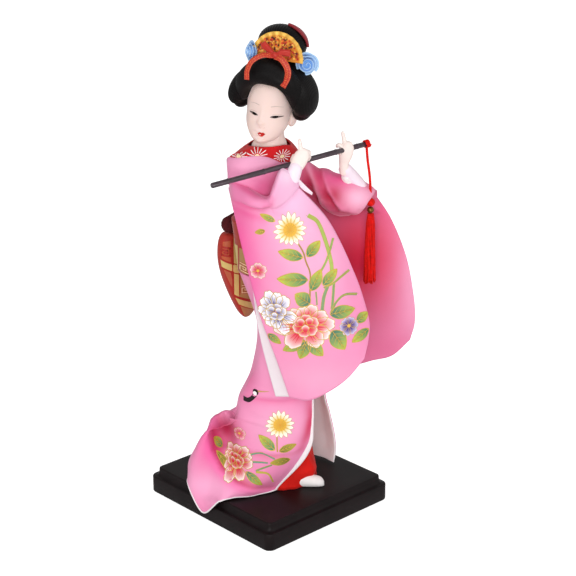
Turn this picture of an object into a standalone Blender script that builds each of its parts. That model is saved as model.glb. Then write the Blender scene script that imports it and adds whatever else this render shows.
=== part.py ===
"""A dressed geisha doll that holds a flute, standing on a lacquered base.

Lengths below are in millimetres, and the mesh is made in metres. The doll faces -Y, her right side
is at -X, and the origin is in the middle of the underside of the base.
"""

import math

import bmesh
import bpy
import numpy as np
from mathutils import Matrix

MM = 0.001

# Base
BASE_X = 102.0
BASE_Y = 112.0
BASE_TOP = 16.5
BASE_SIDE = 11.2
BASE_INSET = 3.75
BASE_CORNER = 5.0

# Fits
GAP = 0.3
SEAT = 0.2
WIRE_GAP = 0.25

# Legs and feet
WIRE_R = 1.0
WIRE_FOOT = 8.0
WIRE_TOP = 38.0
RIGHT_ANKLE = (-3.0, -22.5)
LEFT_ANKLE = (3.5, -4.5)
HIP_Z = 112.0
LEG_R = 4.4

# Trunk: height, half width, half depth
WAIST_Z = 153.0
OBI_TOP = 187.0
SHOULDER_Z = 224.0
TRUNK = (
    (148.0, 15.5, 12.5),
    (153.0, 16.0, 13.0),
    (168.0, 18.0, 13.5),
    (187.0, 21.0, 14.0),
    (201.0, 24.5, 14.5),
    (213.0, 27.0, 14.7),
    (SHOULDER_Z, 28.0, 15.0),
)
CLOTH = 1.2
OBI_CLOTH = 2.6

# Head: place of its middle, and its turn, nod and lean in degrees
HEAD = (-1.1, -5.7, 253.7)
HEAD_TURN = -64.0
HEAD_NOD = 6.0
HEAD_LEAN = 7.5

# Flute: two ends in the pose frame
FLUTE_LEFT = (-31.5, 48.0, 218.5)
FLUTE_RIGHT = (61.0, -12.0, 227.5)
FLUTE_R = 1.6

# Tassel: how far along the flute its cord sits, and its lengths
TASSEL_ALONG = 0.985
CORD_R = 0.55
CORD_DROP = 33.0
KNOT_R = 2.5
BEAD_R = 2.1
SKIRT_LENGTH = 42.0

# Points round a ring of the trunk
ROUND = 24

# The pose frame: across to the right, toward the viewer, and up, seen from her right front.
VIEW_TURN = math.radians(42.4)


def posed(across, toward, up):
    """The place in the doll's own axes of one in the pose frame."""
    cos, sin = math.cos(VIEW_TURN), math.sin(VIEW_TURN)
    return np.array([cos * across - sin * toward, -sin * across - cos * toward, up])


def posed_all(points):
    return np.array([posed(*point) for point in points])


def turned(degrees, axis):
    return np.array(Matrix.Rotation(math.radians(degrees), 3, axis))


HEAD_AXES = turned(HEAD_TURN, "Z") @ turned(HEAD_NOD, "X") @ turned(HEAD_LEAN, "Y")


def on_head(points):
    """Places given from the middle of the head: to her left, backward and up."""
    return np.asarray(points, float) @ HEAD_AXES.T + np.array(HEAD)


def linear(code):
    """Linear colour of an sRGB hex code."""
    parts = [int(code[i : i + 2], 16) / 255 for i in (1, 3, 5)]
    return [p / 12.92 if p <= 0.04045 else ((p + 0.055) / 1.055) ** 2.4 for p in parts] + [1.0]


def material(name, code, roughness, metallic=0.0):
    made = bpy.data.materials.new(name)
    made.use_nodes = True
    shader = made.node_tree.nodes["Principled BSDF"]
    shader.inputs["Base Color"].default_value = linear(code)
    shader.inputs["Roughness"].default_value = roughness
    shader.inputs["Metallic"].default_value = metallic
    made.diffuse_color = linear(code)
    return made


def curve_at(points, steps, closed=False):
    """Smooth curve through the points, given at each of the steps (0 is the first point, 1 the next)."""
    points = np.asarray(points, float)
    count = len(points)
    out = []
    for step in steps:
        i = int(math.floor(step))
        if not closed:
            i = min(max(i, 0), count - 2)
        t = step - i
        if closed:
            a, b, c, d = (points[(i + k) % count] for k in (-1, 0, 1, 2))
        else:
            b, c = points[i], points[i + 1]
            a = points[i - 1] if i > 0 else 2 * b - c
            d = points[i + 2] if i + 2 < count else 2 * c - b
        out.append(
            0.5
            * (
                2 * b
                + (c - a) * t
                + (2 * a - 5 * b + 4 * c - d) * t * t
                + (3 * b - a - 3 * c + d) * t**3
            )
        )
    return np.array(out)


def through(points, count, closed=False):
    spans = len(points) if closed else len(points) - 1
    return curve_at(points, np.linspace(0, spans, count, endpoint=not closed), closed)


def patch(rows, down, across):
    """Grid of points through the rows of control points, each row the same length."""
    wide = [through(row, across) for row in rows]
    return np.stack([through([row[i] for row in wide], down) for i in range(across)], axis=1)


def add_object(name, points, faces, mat):
    """Object of a closed mesh, turned so that its faces point out."""
    bm = bmesh.new()
    made = [bm.verts.new(np.asarray(point, float) * MM) for point in points]
    for face in faces:
        bm.faces.new([made[i] for i in face])
    bmesh.ops.triangulate(bm, faces=bm.faces[:])
    if bm.calc_volume(signed=True) < 0:
        bmesh.ops.reverse_faces(bm, faces=bm.faces[:])
    mesh = bpy.data.meshes.new(name)
    bm.to_mesh(mesh)
    bm.free()
    made_object = bpy.data.objects.new(name, mesh)
    bpy.context.scene.collection.objects.link(made_object)
    if mat:
        mesh.materials.append(mat)
    return made_object


def loft(name, rings, mat):
    """Solid through the rings, closed by a cap at each end."""
    size = len(rings[0])
    points = [point for ring in rings for point in ring]
    points += [np.mean(rings[0], axis=0), np.mean(rings[-1], axis=0)]
    faces = []
    for k in range(len(rings) - 1):
        for i in range(size):
            j = (i + 1) % size
            faces.append((k * size + i, k * size + j, (k + 1) * size + j, (k + 1) * size + i))
    start, end, last = len(points) - 2, len(points) - 1, (len(rings) - 1) * size
    for i in range(size):
        j = (i + 1) % size
        faces.append((start, j, i))
        faces.append((end, last + i, last + j))
    return add_object(name, points, faces, mat)


def sleeve_of(name, rings, mat):
    """Wall that runs through the rings and back to the first one, so it is open at both ends."""
    size, count = len(rings[0]), len(rings)
    points = [point for ring in rings for point in ring]
    faces = []
    for k in range(count):
        m = (k + 1) % count
        for i in range(size):
            j = (i + 1) % size
            faces.append((k * size + i, k * size + j, m * size + j, m * size + i))
    return add_object(name, points, faces, mat)


def grid_normals(grid):
    along = np.gradient(grid, axis=0)
    across = np.gradient(grid, axis=1)
    normals = np.cross(along, across)
    return normals / np.linalg.norm(normals, axis=2, keepdims=True)


def two_sided(name, front, back, mat):
    """Solid between two grids of the same size, closed round its edge."""
    down, wide = front.shape[:2]
    points = list(front.reshape(-1, 3)) + list(back.reshape(-1, 3))
    half = down * wide
    faces = []
    for r in range(down - 1):
        for c in range(wide - 1):
            a = r * wide + c
            faces.append((a, a + 1, a + wide + 1, a + wide))
            faces.append((half + a, half + a + wide, half + a + wide + 1, half + a + 1))
    rim = [c for c in range(wide)]
    rim += [r * wide + wide - 1 for r in range(1, down)]
    rim += [(down - 1) * wide + c for c in range(wide - 2, -1, -1)]
    rim += [r * wide for r in range(down - 2, 0, -1)]
    for i, a in enumerate(rim):
        b = rim[(i + 1) % len(rim)]
        faces.append((b, a, half + a, half + b))
    return add_object(name, points, faces, mat)


def sheet(name, grid, thick, mat):
    normals = grid_normals(grid)
    return two_sided(name, grid + normals * thick / 2, grid - normals * thick / 2, mat)


def pillow(name, grid, thick, mat):
    """Flat bag: thick in the middle of the grid and thin at its edge."""
    normals = grid_normals(grid)
    down, wide = grid.shape[:2]
    r = np.sin(np.linspace(0, math.pi, down))[:, None]
    c = np.sin(np.linspace(0, math.pi, wide))[None, :]
    half = 0.6 + (thick / 2 - 0.6) * np.minimum(1, 2.2 * r) ** 0.6 * np.minimum(1, 2.2 * c) ** 0.6
    lift = normals * half[:, :, None]
    return two_sided(name, grid + lift, grid - lift, mat)


def tube_rings(path, radii, sides, up=(0, 0, 1)):
    """Rings round a path. Each radius is one number, or a pair: sideways and along up."""
    path = np.asarray(path, float)
    rings = []
    for k, centre in enumerate(path):
        tangent = path[min(k + 1, len(path) - 1)] - path[max(k - 1, 0)]
        tangent = tangent / np.linalg.norm(tangent)
        side = np.cross(tangent, up)
        side = side / np.linalg.norm(side)
        top = np.cross(side, tangent)
        wide, tall = radii[k] if np.ndim(radii[k]) else (radii[k], radii[k])
        angles = np.linspace(0, 2 * math.pi, sides, endpoint=False)
        rings.append(
            [centre + side * math.cos(a) * wide + top * math.sin(a) * tall for a in angles]
        )
    return rings


def limb(name, path, radii, count, sides, mat, up=(0, 0, 1), blunt=0.35):
    """Solid along a smooth path, with its ends rounded off."""
    radii = [r if np.ndim(r) else (r, r) for r in radii]
    line = through(path, count)
    sizes = through(radii, count)
    first = line[0] - (line[1] - line[0]) / np.linalg.norm(line[1] - line[0]) * min(sizes[0]) * blunt
    last = line[-1] + (line[-1] - line[-2]) / np.linalg.norm(line[-1] - line[-2]) * min(
        sizes[-1]
    ) * blunt
    line = np.vstack([first, line, last])
    sizes = np.vstack([sizes[0] * 0.6, sizes, sizes[-1] * 0.6])
    return loft(name, tube_rings(line, list(map(tuple, sizes)), sides, up), mat)


def ball(name, centre, radii, mat, axes=None, rows=8, sides=12):
    """Ellipsoid with its three half sizes along the axes."""
    axes = np.eye(3) if axes is None else axes
    rings = []
    for k in range(1, rows):
        tilt = math.pi * k / rows
        ring = []
        for i in range(sides):
            a = 2 * math.pi * i / sides
            place = (
                math.sin(tilt) * math.cos(a) * radii[0],
                math.sin(tilt) * math.sin(a) * radii[1],
                math.cos(tilt) * radii[2],
            )
            ring.append(np.asarray(centre) + axes @ np.array(place))
        rings.append(ring)
    return loft(name, rings, mat)


def turned_solid(name, profile, place, mat, sides=24):
    """Solid of revolution about a vertical line: profile of (radius, height)."""
    angles = np.linspace(0, 2 * math.pi, sides, endpoint=False)
    rings = [
        [(place[0] + r * math.cos(a), place[1] + r * math.sin(a), place[2] + h) for a in angles]
        for r, h in profile
    ]
    return loft(name, np.array(rings), mat)


def clean_bodies(mesh, keep, finest):
    """Drops slivers and keeps the largest bodies. It says whether the mesh is closed, and its volume."""
    bm = bmesh.new()
    bm.from_mesh(mesh)
    bmesh.ops.remove_doubles(bm, verts=bm.verts[:], dist=finest * MM)
    bmesh.ops.triangulate(bm, faces=bm.faces[:])
    left = set(bm.faces)
    bodies = []
    while left:
        body, front = [], [left.pop()]
        while front:
            face = front.pop()
            body.append(face)
            for edge in face.edges:
                for other in edge.link_faces:
                    if len(edge.link_faces) == 2 and other in left:
                        left.discard(other)
                        front.append(other)
        bodies.append(body)
    bodies.sort(key=body_size, reverse=True)
    for body in bodies[keep:]:
        bmesh.ops.delete(bm, geom=body, context="FACES")
    bm.to_mesh(mesh)
    closed = all(len(edge.link_faces) == 2 for edge in bm.edges)
    volume = bm.calc_volume(signed=True)
    bm.free()
    return closed, volume


def body_size(body):
    places = np.array([face.calc_center_median() for face in body])
    return float(np.prod(np.ptp(places, axis=0) + 1e-6))


def volume_of(obj):
    bm = bmesh.new()
    bm.from_mesh(obj.data)
    volume = bm.calc_volume(signed=True)
    bm.free()
    return volume


SOLVERS = (("EXACT", 0.01), ("EXACT", 0.001), ("MANIFOLD", 0.01), ("MANIFOLD", 0.001))


def combine(obj, other, operation, keep=1):
    """Boolean whose result becomes the object's own mesh, by the first solver that gives a closed one."""
    least = volume_of(obj) * (0.999 if operation == "UNION" else 0.2)
    for solver, finest in SOLVERS:
        modifier = obj.modifiers.new(operation.title(), "BOOLEAN")
        modifier.operation = operation
        modifier.solver = solver
        modifier.object = other
        graph = bpy.context.evaluated_depsgraph_get()
        mesh = bpy.data.meshes.new_from_object(obj.evaluated_get(graph))
        obj.modifiers.clear()
        closed, volume = clean_bodies(mesh, keep, finest)
        if closed and volume > least:
            break
    obj.data = mesh


def join(obj, *others):
    """One body out of several that overlap."""
    for other in others:
        combine(obj, other, "UNION")
        bpy.data.objects.remove(other)
    return obj


def grown(obj, gap):
    """A copy that is larger all round by the gap."""
    bm = bmesh.new()
    bm.from_mesh(obj.data)
    bm.normal_update()
    moves = [(v, v.normal * gap * MM * min(v.calc_shell_factor(), 1.6)) for v in bm.verts]
    for vert, move in moves:
        vert.co += move
    mesh = bpy.data.meshes.new("grown")
    bm.to_mesh(mesh)
    bm.free()
    copy = bpy.data.objects.new("grown", mesh)
    copy.matrix_world = obj.matrix_world
    bpy.context.scene.collection.objects.link(copy)
    return copy


def clear(obj, *others, gap=GAP):
    """Cuts room for each of the others out of the object."""
    for other in others:
        cutter = grown(other, gap)
        combine(obj, cutter, "DIFFERENCE")
        bpy.data.objects.remove(cutter)
    return obj


def cut_away(obj, cutter):
    combine(obj, cutter, "DIFFERENCE")
    bpy.data.objects.remove(cutter)
    return obj


def oval(half_x, half_y, z, count, centre=(0.0, 0.0), square=2.0):
    """Level ring. A squareness of 2 is an ellipse, and more of it fills the corners."""
    ring = []
    for i in range(count):
        a = 2 * math.pi * i / count
        c, s = math.cos(a), math.sin(a)
        x = half_x * math.copysign(abs(c) ** (2 / square), c)
        y = half_y * math.copysign(abs(s) ** (2 / square), s)
        ring.append((centre[0] + x, centre[1] + y, z))
    return np.array(ring)


def trunk_ring(z, grow, count=ROUND):
    heights = [row[0] for row in TRUNK]
    wide = np.interp(z, heights, [row[1] for row in TRUNK])
    deep = np.interp(z, heights, [row[2] for row in TRUNK])
    return oval(wide + grow, deep + grow, z, count, square=2.3)


def rounded_rectangle(half_x, half_y, corner, z, steps=4):
    ring = []
    for turn, (sx, sy) in enumerate(((1, 1), (-1, 1), (-1, -1), (1, -1))):
        for k in range(steps + 1):
            a = math.pi / 2 * (turn + k / steps)
            ring.append(
                (
                    sx * (half_x - corner) + corner * math.cos(a),
                    sy * (half_y - corner) + corner * math.sin(a),
                    z,
                )
            )
    return np.array(ring)


# The startup objects go first.
for startup in list(bpy.data.objects):
    bpy.data.objects.remove(startup)

lacquer = material("black_lacquer", "#1c1516", 0.22)
steel = material("steel_wire", "#8c8c8c", 0.4, 1.0)
cotton = material("white_cotton", "#ece6e4", 0.9)
skin = material("skin_resin", "#f0ddd6", 0.45)
hair_black = material("black_hair", "#16110f", 0.35)
pink = material("pink_satin", "#f07fb4", 0.45)
white_silk = material("white_lining", "#f3ecef", 0.6)
red_silk = material("red_silk", "#cf1c1e", 0.6)
patterned = material("patterned_red", "#c4202c", 0.7)
brocade = material("obi_brocade", "#a0662f", 0.6)
maroon = material("maroon_crepe", "#4a1216", 0.8)
gold = material("gold_paper", "#e0a21f", 0.4)
blue = material("blue_ribbon", "#8fc0f0", 0.5)
orange = material("red_crepe", "#e2432a", 0.6)
bamboo = material("dark_bamboo", "#2a1f20", 0.3)
thread = material("red_thread", "#c91712", 0.7)
brass = material("brass_bead", "#8a6a33", 0.35, 1.0)

# Base
BASE_PROFILE = (
    (0.8, 0.0),
    (0.0, 0.8),
    (0.0, BASE_SIDE - 0.8),
    (0.7, BASE_SIDE),
    (2.0, BASE_SIDE + 0.5),
    (3.0, BASE_SIDE + 1.6),
    (BASE_INSET - 0.3, BASE_SIDE + 3.2),
    (BASE_INSET, BASE_TOP - 0.5),
    (BASE_INSET + 0.5, BASE_TOP),
)
base_plate = loft(
    "base_plate",
    [
        rounded_rectangle(BASE_X / 2 - inset, BASE_Y / 2 - inset, BASE_CORNER, z)
        for inset, z in BASE_PROFILE
    ],
    lacquer,
)

# Wires and the holes that hold them
WIRES = {}
for side, (x, y) in (("right", RIGHT_ANKLE), ("left", LEFT_ANKLE)):
    WIRES[side] = turned_solid(
        "leg_wire_" + side, ((WIRE_R, WIRE_FOOT), (WIRE_R, WIRE_TOP)), (x, y, 0), steel, 16
    )
    hole = turned_solid(
        "hole", ((WIRE_R + WIRE_GAP, WIRE_FOOT - SEAT), (WIRE_R + WIRE_GAP, 30)), (x, y, 0), None, 16
    )
    cut_away(base_plate, hole)


def foot(name, heel, toe, ankle):
    """Tabi foot: a flat sole on the base, and an instep that rises to the ankle."""
    heel, toe = np.array(heel, float), np.array(toe, float)
    sole = BASE_TOP + SEAT
    rings = []
    for t, wide, tall in (
        (-0.08, 2.2, 5.0),
        (0.0, 3.4, 8.5),
        (0.2, 3.9, 9.8),
        (0.4, 3.9, 9.0),
        (0.6, 4.2, 7.3),
        (0.8, 4.4, 6.4),
        (0.93, 4.0, 5.4),
        (1.0, 3.0, 4.2),
        (1.04, 1.6, 2.6),
    ):
        middle = heel + (toe - heel) * t
        ahead = (toe - heel) / np.linalg.norm(toe - heel)
        side = np.array([-ahead[1], ahead[0]])
        ring = []
        for i in range(12):
            a = 2 * math.pi * i / 12
            x, y = middle + side * math.cos(a) * wide
            ring.append((x, y, max(sole, sole + tall * (0.42 + 0.58 * math.sin(a)))))
        rings.append(ring)
    made = loft(name, np.array(rings), cotton)
    shaft = turned_solid(
        "shaft", ((WIRE_R + WIRE_GAP, 10), (WIRE_R + WIRE_GAP, 40)), (*ankle, 0), None, 12,
    )
    return cut_away(made, shaft)


def leg(name, ankle, knee, hip):
    start = (*ankle, BASE_TOP + 11.5)
    shin = (0.75 * ankle[0] + 0.25 * knee[0], 0.6 * ankle[1] + 0.4 * knee[1], 44)
    path = (start, shin, (*knee, 68), (*hip, HIP_Z))
    made = limb(name, path, (3.0, LEG_R - 0.4, LEG_R, LEG_R + 0.4), 8, 12, cotton, up=(0, 1, 0))
    bore = turned_solid(
        "bore", ((WIRE_R + WIRE_GAP, 10), (WIRE_R + WIRE_GAP, WIRE_TOP + SEAT)), (*ankle, 0), None, 12
    )
    return cut_away(made, bore)


foot_right = foot("foot_right", (-6.6, -20.6), (11.0, -37.6), RIGHT_ANKLE)
foot_left = foot("foot_left", (0.0, -2.2), (18.0, -14.0), LEFT_ANKLE)
leg_right = leg("leg_right", RIGHT_ANKLE, (-1.6, -15.5), (-0.6, -11.0))
leg_left = leg("leg_left", LEFT_ANKLE, (8.0, -9.0), (9.2, -9.6))

# Trunk
body_core = loft(
    "body_core",
    [oval(9, 7, HIP_Z + 3.2, 18, (4.4, -10.4)), oval(10.5, 9, HIP_Z + 5, 18, (4.4, -10.2))]
    + [oval(11, 9.6, 135, 18, (2.4, -5)), trunk_ring(151, -3.0, 18)]
    + [trunk_ring(z, -CLOTH - GAP, 18) for z in (156, 168, 187, 201, 213, 220)]
    + [oval(20, 12, 222.6, 18), oval(13, 9, 223.4, 18)],
    cotton,
)


def neckline_dip(angle):
    """How far the neckline drops below the shoulders at an angle round the neck."""
    return 6.5 * math.exp(-(((angle - math.radians(280)) / math.radians(30)) ** 2))


def dipped(ring, amount=1.0):
    ring = np.array(ring)
    for i in range(len(ring)):
        ring[i, 2] -= amount * neckline_dip(2 * math.pi * i / len(ring))
    return ring


BODICE_LEVELS = (WAIST_Z, 168, 187, 201, 213, SHOULDER_Z - 1.5)
outer = [trunk_ring(z, 0.0) for z in BODICE_LEVELS] + [dipped(trunk_ring(SHOULDER_Z + 2.5, 0.0))]
inner = [dipped(trunk_ring(SHOULDER_Z + 2.5, -CLOTH))]
inner += [trunk_ring(z, -CLOTH) for z in reversed(BODICE_LEVELS)]
bodice = sleeve_of("bodice", outer + inner, pink)

# Collar: a shallow cape from the bodice's edge up to the neck
collar_rings = [
    dipped(trunk_ring(SHOULDER_Z + 0.5, -CLOTH - 0.35)),
    dipped(trunk_ring(SHOULDER_Z + 2.5 + SEAT + 0.1, -CLOTH - 0.35)),
    dipped(trunk_ring(SHOULDER_Z + 2.5 + SEAT + 0.1, 0.1)),
    dipped(oval(27.4, 14.6, SHOULDER_Z + 5.0, ROUND, square=2.3)),
    dipped(oval(21, 12.6, SHOULDER_Z + 7.0, ROUND, (0, -1)), 0.7),
    oval(13.4, 11.2, SHOULDER_Z + 8.6, ROUND, (-0.6, -2.6)),
    oval(12.4, 10.4, SHOULDER_Z + 8.2, ROUND, (-0.6, -2.8)),
    oval(12.6, 10.4, SHOULDER_Z + 6.2, ROUND, (-0.6, -2.4)),
    dipped(oval(20, 11.2, SHOULDER_Z + 3.6, ROUND, (0, -1)), 0.7),
    dipped(trunk_ring(SHOULDER_Z + 0.5, -CLOTH - 2.0)),
]
collar = sleeve_of("collar", collar_rings, patterned)

# Head with the neck and the upper chest


def face_ring(z, wide, front, back, centre_y=0.0, count=26):
    """Level ring of the head: rounder behind, flatter across the face."""
    ring = []
    for i in range(count):
        a = 2 * math.pi * i / count
        c, s = math.cos(a), math.sin(a)
        deep = back if s > 0 else front
        ring.append((wide * c, centre_y + deep * s, z))
    return ring


HEAD_RINGS = (
    (-18.6, 3.0, 5.0, 3.0, -6.0),
    (-17.8, 5.2, 7.4, 4.0, -5.0),
    (-15.6, 8.0, 10.2, 7.0, -3.4),
    (-12.0, 10.4, 11.6, 10.0, -2.0),
    (-8.0, 12.0, 12.6, 12.6, -1.0),
    (-3.0, 12.9, 12.9, 14.5, 0.0),
    (2.0, 13.2, 12.6, 15.6, 0.4),
    (7.0, 13.2, 12.6, 16.0, 0.6),
    (12.0, 12.6, 12.2, 15.4, 0.6),
    (16.0, 11.2, 10.8, 13.6, 0.6),
    (19.0, 8.8, 8.4, 10.6, 0.6),
    (21.0, 5.0, 5.0, 6.2, 0.6),
)
head = loft(
    "head",
    [on_head(face_ring(z, w, f, b, y)) for z, w, f, b, y in HEAD_RINGS],
    skin,
)
nose = loft(
    "nose",
    [
        on_head(
            [(x * w, y, z)
            for x, y in ((0, -15.3 + cut), (1, -13.0), (1, -9), (-1, -9), (-1, -13.0))]
        )
        for z, w, cut in ((-6.8, 1.5, 1.4), (-5.6, 1.9, 0.0), (-3.0, 1.4, 0.9), (1.5, 0.9, 2.0))
    ],
    None,
)
neck = loft(
    "neck",
    [
        oval(7.0, 7.0, 206.0, 18, (-0.6, -1.0)),
        oval(7.0, 7.0, 223.9, 18, (-0.6, -1.6)),
        oval(11.9, 9.8, 225.6, 18, (-0.6, -2.4)),
        oval(11.8, 9.8, 231.0, 18, (-0.6, -2.6)),
        oval(10.2, 8.8, 234.0, 18, (-0.8, -3.4)),
        oval(8.6, 8.0, 238.0, 18, (-0.8, -4.0)),
        oval(8.0, 7.8, 246.0, 18, (-0.9, -4.4)),
    ],
    None,
)
ears = [
    ball("ear", on_head([(side * 12.9, 2.0, -5.5)])[0], (1.6, 2.6, 3.4), None, HEAD_AXES, 8, 10)
    for side in (-1, 1)
]
join(head, nose, neck, *ears)
clear(body_core, head, gap=SEAT + 0.1)
clear(collar, head, body_core)
clear(collar, bodice, gap=0.15)

# Hair: crown, front roll, side wings and nape in one dressed mass


def hair_limb(name, path, radii, sides=12, count=7, up=(0, 1, 0)):
    return limb(name, on_head(path), radii, count, sides, hair_black, HEAD_AXES @ np.array(up), 0.6)


hair = ball("hair", on_head([(0.1, 5.6, 13.5)])[0], (16.7, 14.8, 16.9), hair_black, HEAD_AXES, 9, 18)
front_roll = hair_limb(
    "roll",
    (
        (-16.5, -4.0, 8), (-14, -8.5, 17), (-7.5, -10.5, 23.2), (0.5, -11, 25), (8.5, -10.5, 23.2),
        (14.5, -8.5, 17), (17, -4.0, 8),
    ),
    ((4.6, 6), (5.6, 6.6), (6.8, 7), (7.4, 7.2), (6.8, 7), (5.6, 6.6), (4.6, 6)),
    count=9,
)
wings = [
    hair_limb(
        "wing",
        ((s * 7, 1, 27), (s * 14, 0.5, 21), (s * 19, 0.5, 12.5), (s * 20, 0.5, 4), (s * 18.5, 1, -0.5)),
        ((5, 9), (7.5, 11), (7.6, 12), (6.6, 11), (4.6, 8)),
    )
    for s in (-1, 1)
]
nape = hair_limb(
    "nape",
    ((0.3, 9, 22), (0.3, 15.5, 15), (0.2, 18.5, 5), (0, 17.5, -3), (0, 15, -7)),
    ((11, 5), (13, 7), (13, 8), (11, 6), (8, 4)),
    up=(0, 0.3, 1),
)
join(hair, front_roll, *wings, nape)
clear(hair, head, gap=0.25)

BUN_MIDDLE = on_head([(1.5, 4.0, 38.0)])[0]
top_knot = ball("top_knot", BUN_MIDDLE, (14.4, 11.5, 11.0), hair_black, HEAD_AXES, 10, 20)
clear(top_knot, hair, gap=0.2)

# Red cloth that goes over the top knot, behind the fan
crepe_arc = [
    (1.5 + 14.9 * math.sin(a), 5.5, 38.0 + 11.5 * math.cos(a))
    for a in np.radians(np.linspace(20, 105, 10))
]
crepe_rings = tube_rings(on_head(crepe_arc), [(2.6, 1.0)] * 10, 10, HEAD_AXES @ np.array((0, 0.1, 1)))
hair_crepe = loft("hair_crepe", crepe_rings, orange)
clear(hair_crepe, top_knot, hair, gap=0.15)

# Gold fan that stands in front of the top knot
FAN_R = 15.8
FAN_THICK = 1.2
fan_angles = np.radians(np.linspace(-86, 86, 19))
fan_edge = [(FAN_R * math.sin(a), FAN_R * math.cos(a)) for a in fan_angles]
fan_edge += [(4.0 * math.sin(a), 4.0 * math.cos(a) - 3.0) for a in np.radians(np.linspace(60, -60, 4))]


def on_fan(u, v, w):
    """Place on the fan's plate: u across, v up it, w out of it toward the front."""
    lean = math.radians(-12)
    return on_head(
        [
            (
                3.6 + u, -8.8 - w * math.cos(lean) - v * math.sin(lean),
                32.6 + v * math.cos(lean) - w * math.sin(lean),
            ),
        ]
    )[0]


hair_fan = loft(
    "hair_fan",
    [np.array([on_fan(u, v, w) for u, v in fan_edge]) for w in (0.0, FAN_THICK)],
    gold,
)
clear(hair_fan, top_knot, hair, hair_crepe, gap=0.15)

# Red ribbon bow in front of the fan
KNOT_AT = np.array([3.6, -13.0, 36.4])
bow_knot = ball("bow_knot", on_head([KNOT_AT])[0], (2.2, 1.8, 2.0), orange, HEAD_AXES, 8, 12)
loops = [
    limb(
        "loop",
        on_head(
            [
                KNOT_AT + (s * 0.8, 0.2, 0.3), KNOT_AT + (s * 4.0, 0.6, 2.0),
                KNOT_AT + (s * 8.0, 1.2, 3.4 - s * 1.2),
            ],
        ),
        ((1.2, 1.0), (3.0, 1.4), (3.2, 1.2)),
        6,
        12,
        orange,
        HEAD_AXES @ np.array((0, 1, 0)),
    )
    for s in (-1, 1)
]
bow_loops = join(loops[0], loops[1])
bow_loops.name = "bow_loops"


def ribbon(name, path, wide, thick, mat, up):
    line = through(on_head(path), 9)
    return loft(name, tube_rings(line, [(wide / 2, thick / 2)] * 9, 8, HEAD_AXES @ np.array(up)), mat)


bow_tail_right = ribbon(
    "bow_tail_right",
    (
        (2.0, -13.4, 34.4), (-2.5, -17.2, 35.0), (-7.5, -19.8, 31.5), (-9.2, -20.8, 26.5),
        (-8.8, -20.9, 22.0),
    ),
    4.0,
    0.9,
    orange,
    (0, -1, 0.6),
)
bow_tail_left = ribbon(
    "bow_tail_left",
    (
        (4.0, -13.4, 34.4), (8.5, -15.2, 35.0), (12.6, -15.8, 31.0), (13.8, -16.2, 26.0),
        (12.0, -17.4, 20.5),
    ),
    4.6,
    0.9,
    orange,
    (0, -1, 0.6),
)
clear(bow_loops, hair_fan, hair, gap=0.15)
clear(bow_knot, bow_loops, hair_fan, hair, gap=0.15)
for tail in (bow_tail_right, bow_tail_left):
    clear(tail, hair, hair_fan, bow_knot, bow_loops, gap=0.15)


def rose(name, middle, radius, facing):
    """Ribbon rose: a shallow cup of rolled petals that faces one way."""
    facing = np.array(facing, float) / np.linalg.norm(facing)
    side = np.cross(facing, (0, 0, 1))
    side = side / np.linalg.norm(side)
    top = np.cross(side, facing)
    rings = []
    for r, h in (
        (0.5, -0.5), (0.86, -0.3), (1.0, 0.0), (0.92, 0.26), (0.7, 0.42), (0.45, 0.36), (0.3, 0.48),
        (0.1, 0.4),
    ):
        ring = []
        for i in range(15):
            a = 2 * math.pi * i / 15
            petal = 1 + 0.07 * math.cos(5 * a + 6 * r)
            place = side * math.cos(a) * r * petal + top * math.sin(a) * r * petal + facing * h
            ring.append(np.array(middle) + place * radius)
        rings.append(on_head(ring))
    return loft(name, rings, blue)


rose_right = rose("rose_right", (-12.6, -8.5, 34.0), 6.2, (-0.75, -0.65, 0.1))
rose_left = rose("rose_left", (18.6, 0.5, 29.0), 6.6, (0.55, -0.8, 0.15))
for flower in (rose_right, rose_left):
    clear(flower, hair, top_knot, hair_fan, gap=0.15)
clear(rose_left, hair_crepe, gap=0.15)

# Flute
flute_line = posed_all([FLUTE_LEFT, FLUTE_RIGHT])
flute_way = flute_line[1] - flute_line[0]
flute_steps = (0.0, 0.004, 0.1, 0.104, 0.11, 0.114, 0.5, 0.504, 0.9, 0.904, 0.91, 0.914, 0.996, 1.0)
flute_sizes = (0.8, 1, 1, 1.1, 1.1, 1, 1, 1, 1, 1.1, 1.1, 1, 1, 0.8)
flute = loft(
    "flute",
    tube_rings(
        [flute_line[0] + flute_way * t for t in flute_steps], [FLUTE_R * s for s in flute_sizes], 12
    ),
    bamboo,
)

# Arms and hands


def hand(name, palm, palm_sizes, fingers):
    made = limb(name, posed_all(palm), palm_sizes, 7, 10, skin, posed(0, 1, 0))
    tips = [
        limb("finger", posed_all(path), sizes, 5, 6, skin, posed(0, 1, 0.1), 0.6)
        for path, sizes in fingers
    ]
    return join(made, *tips)


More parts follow.
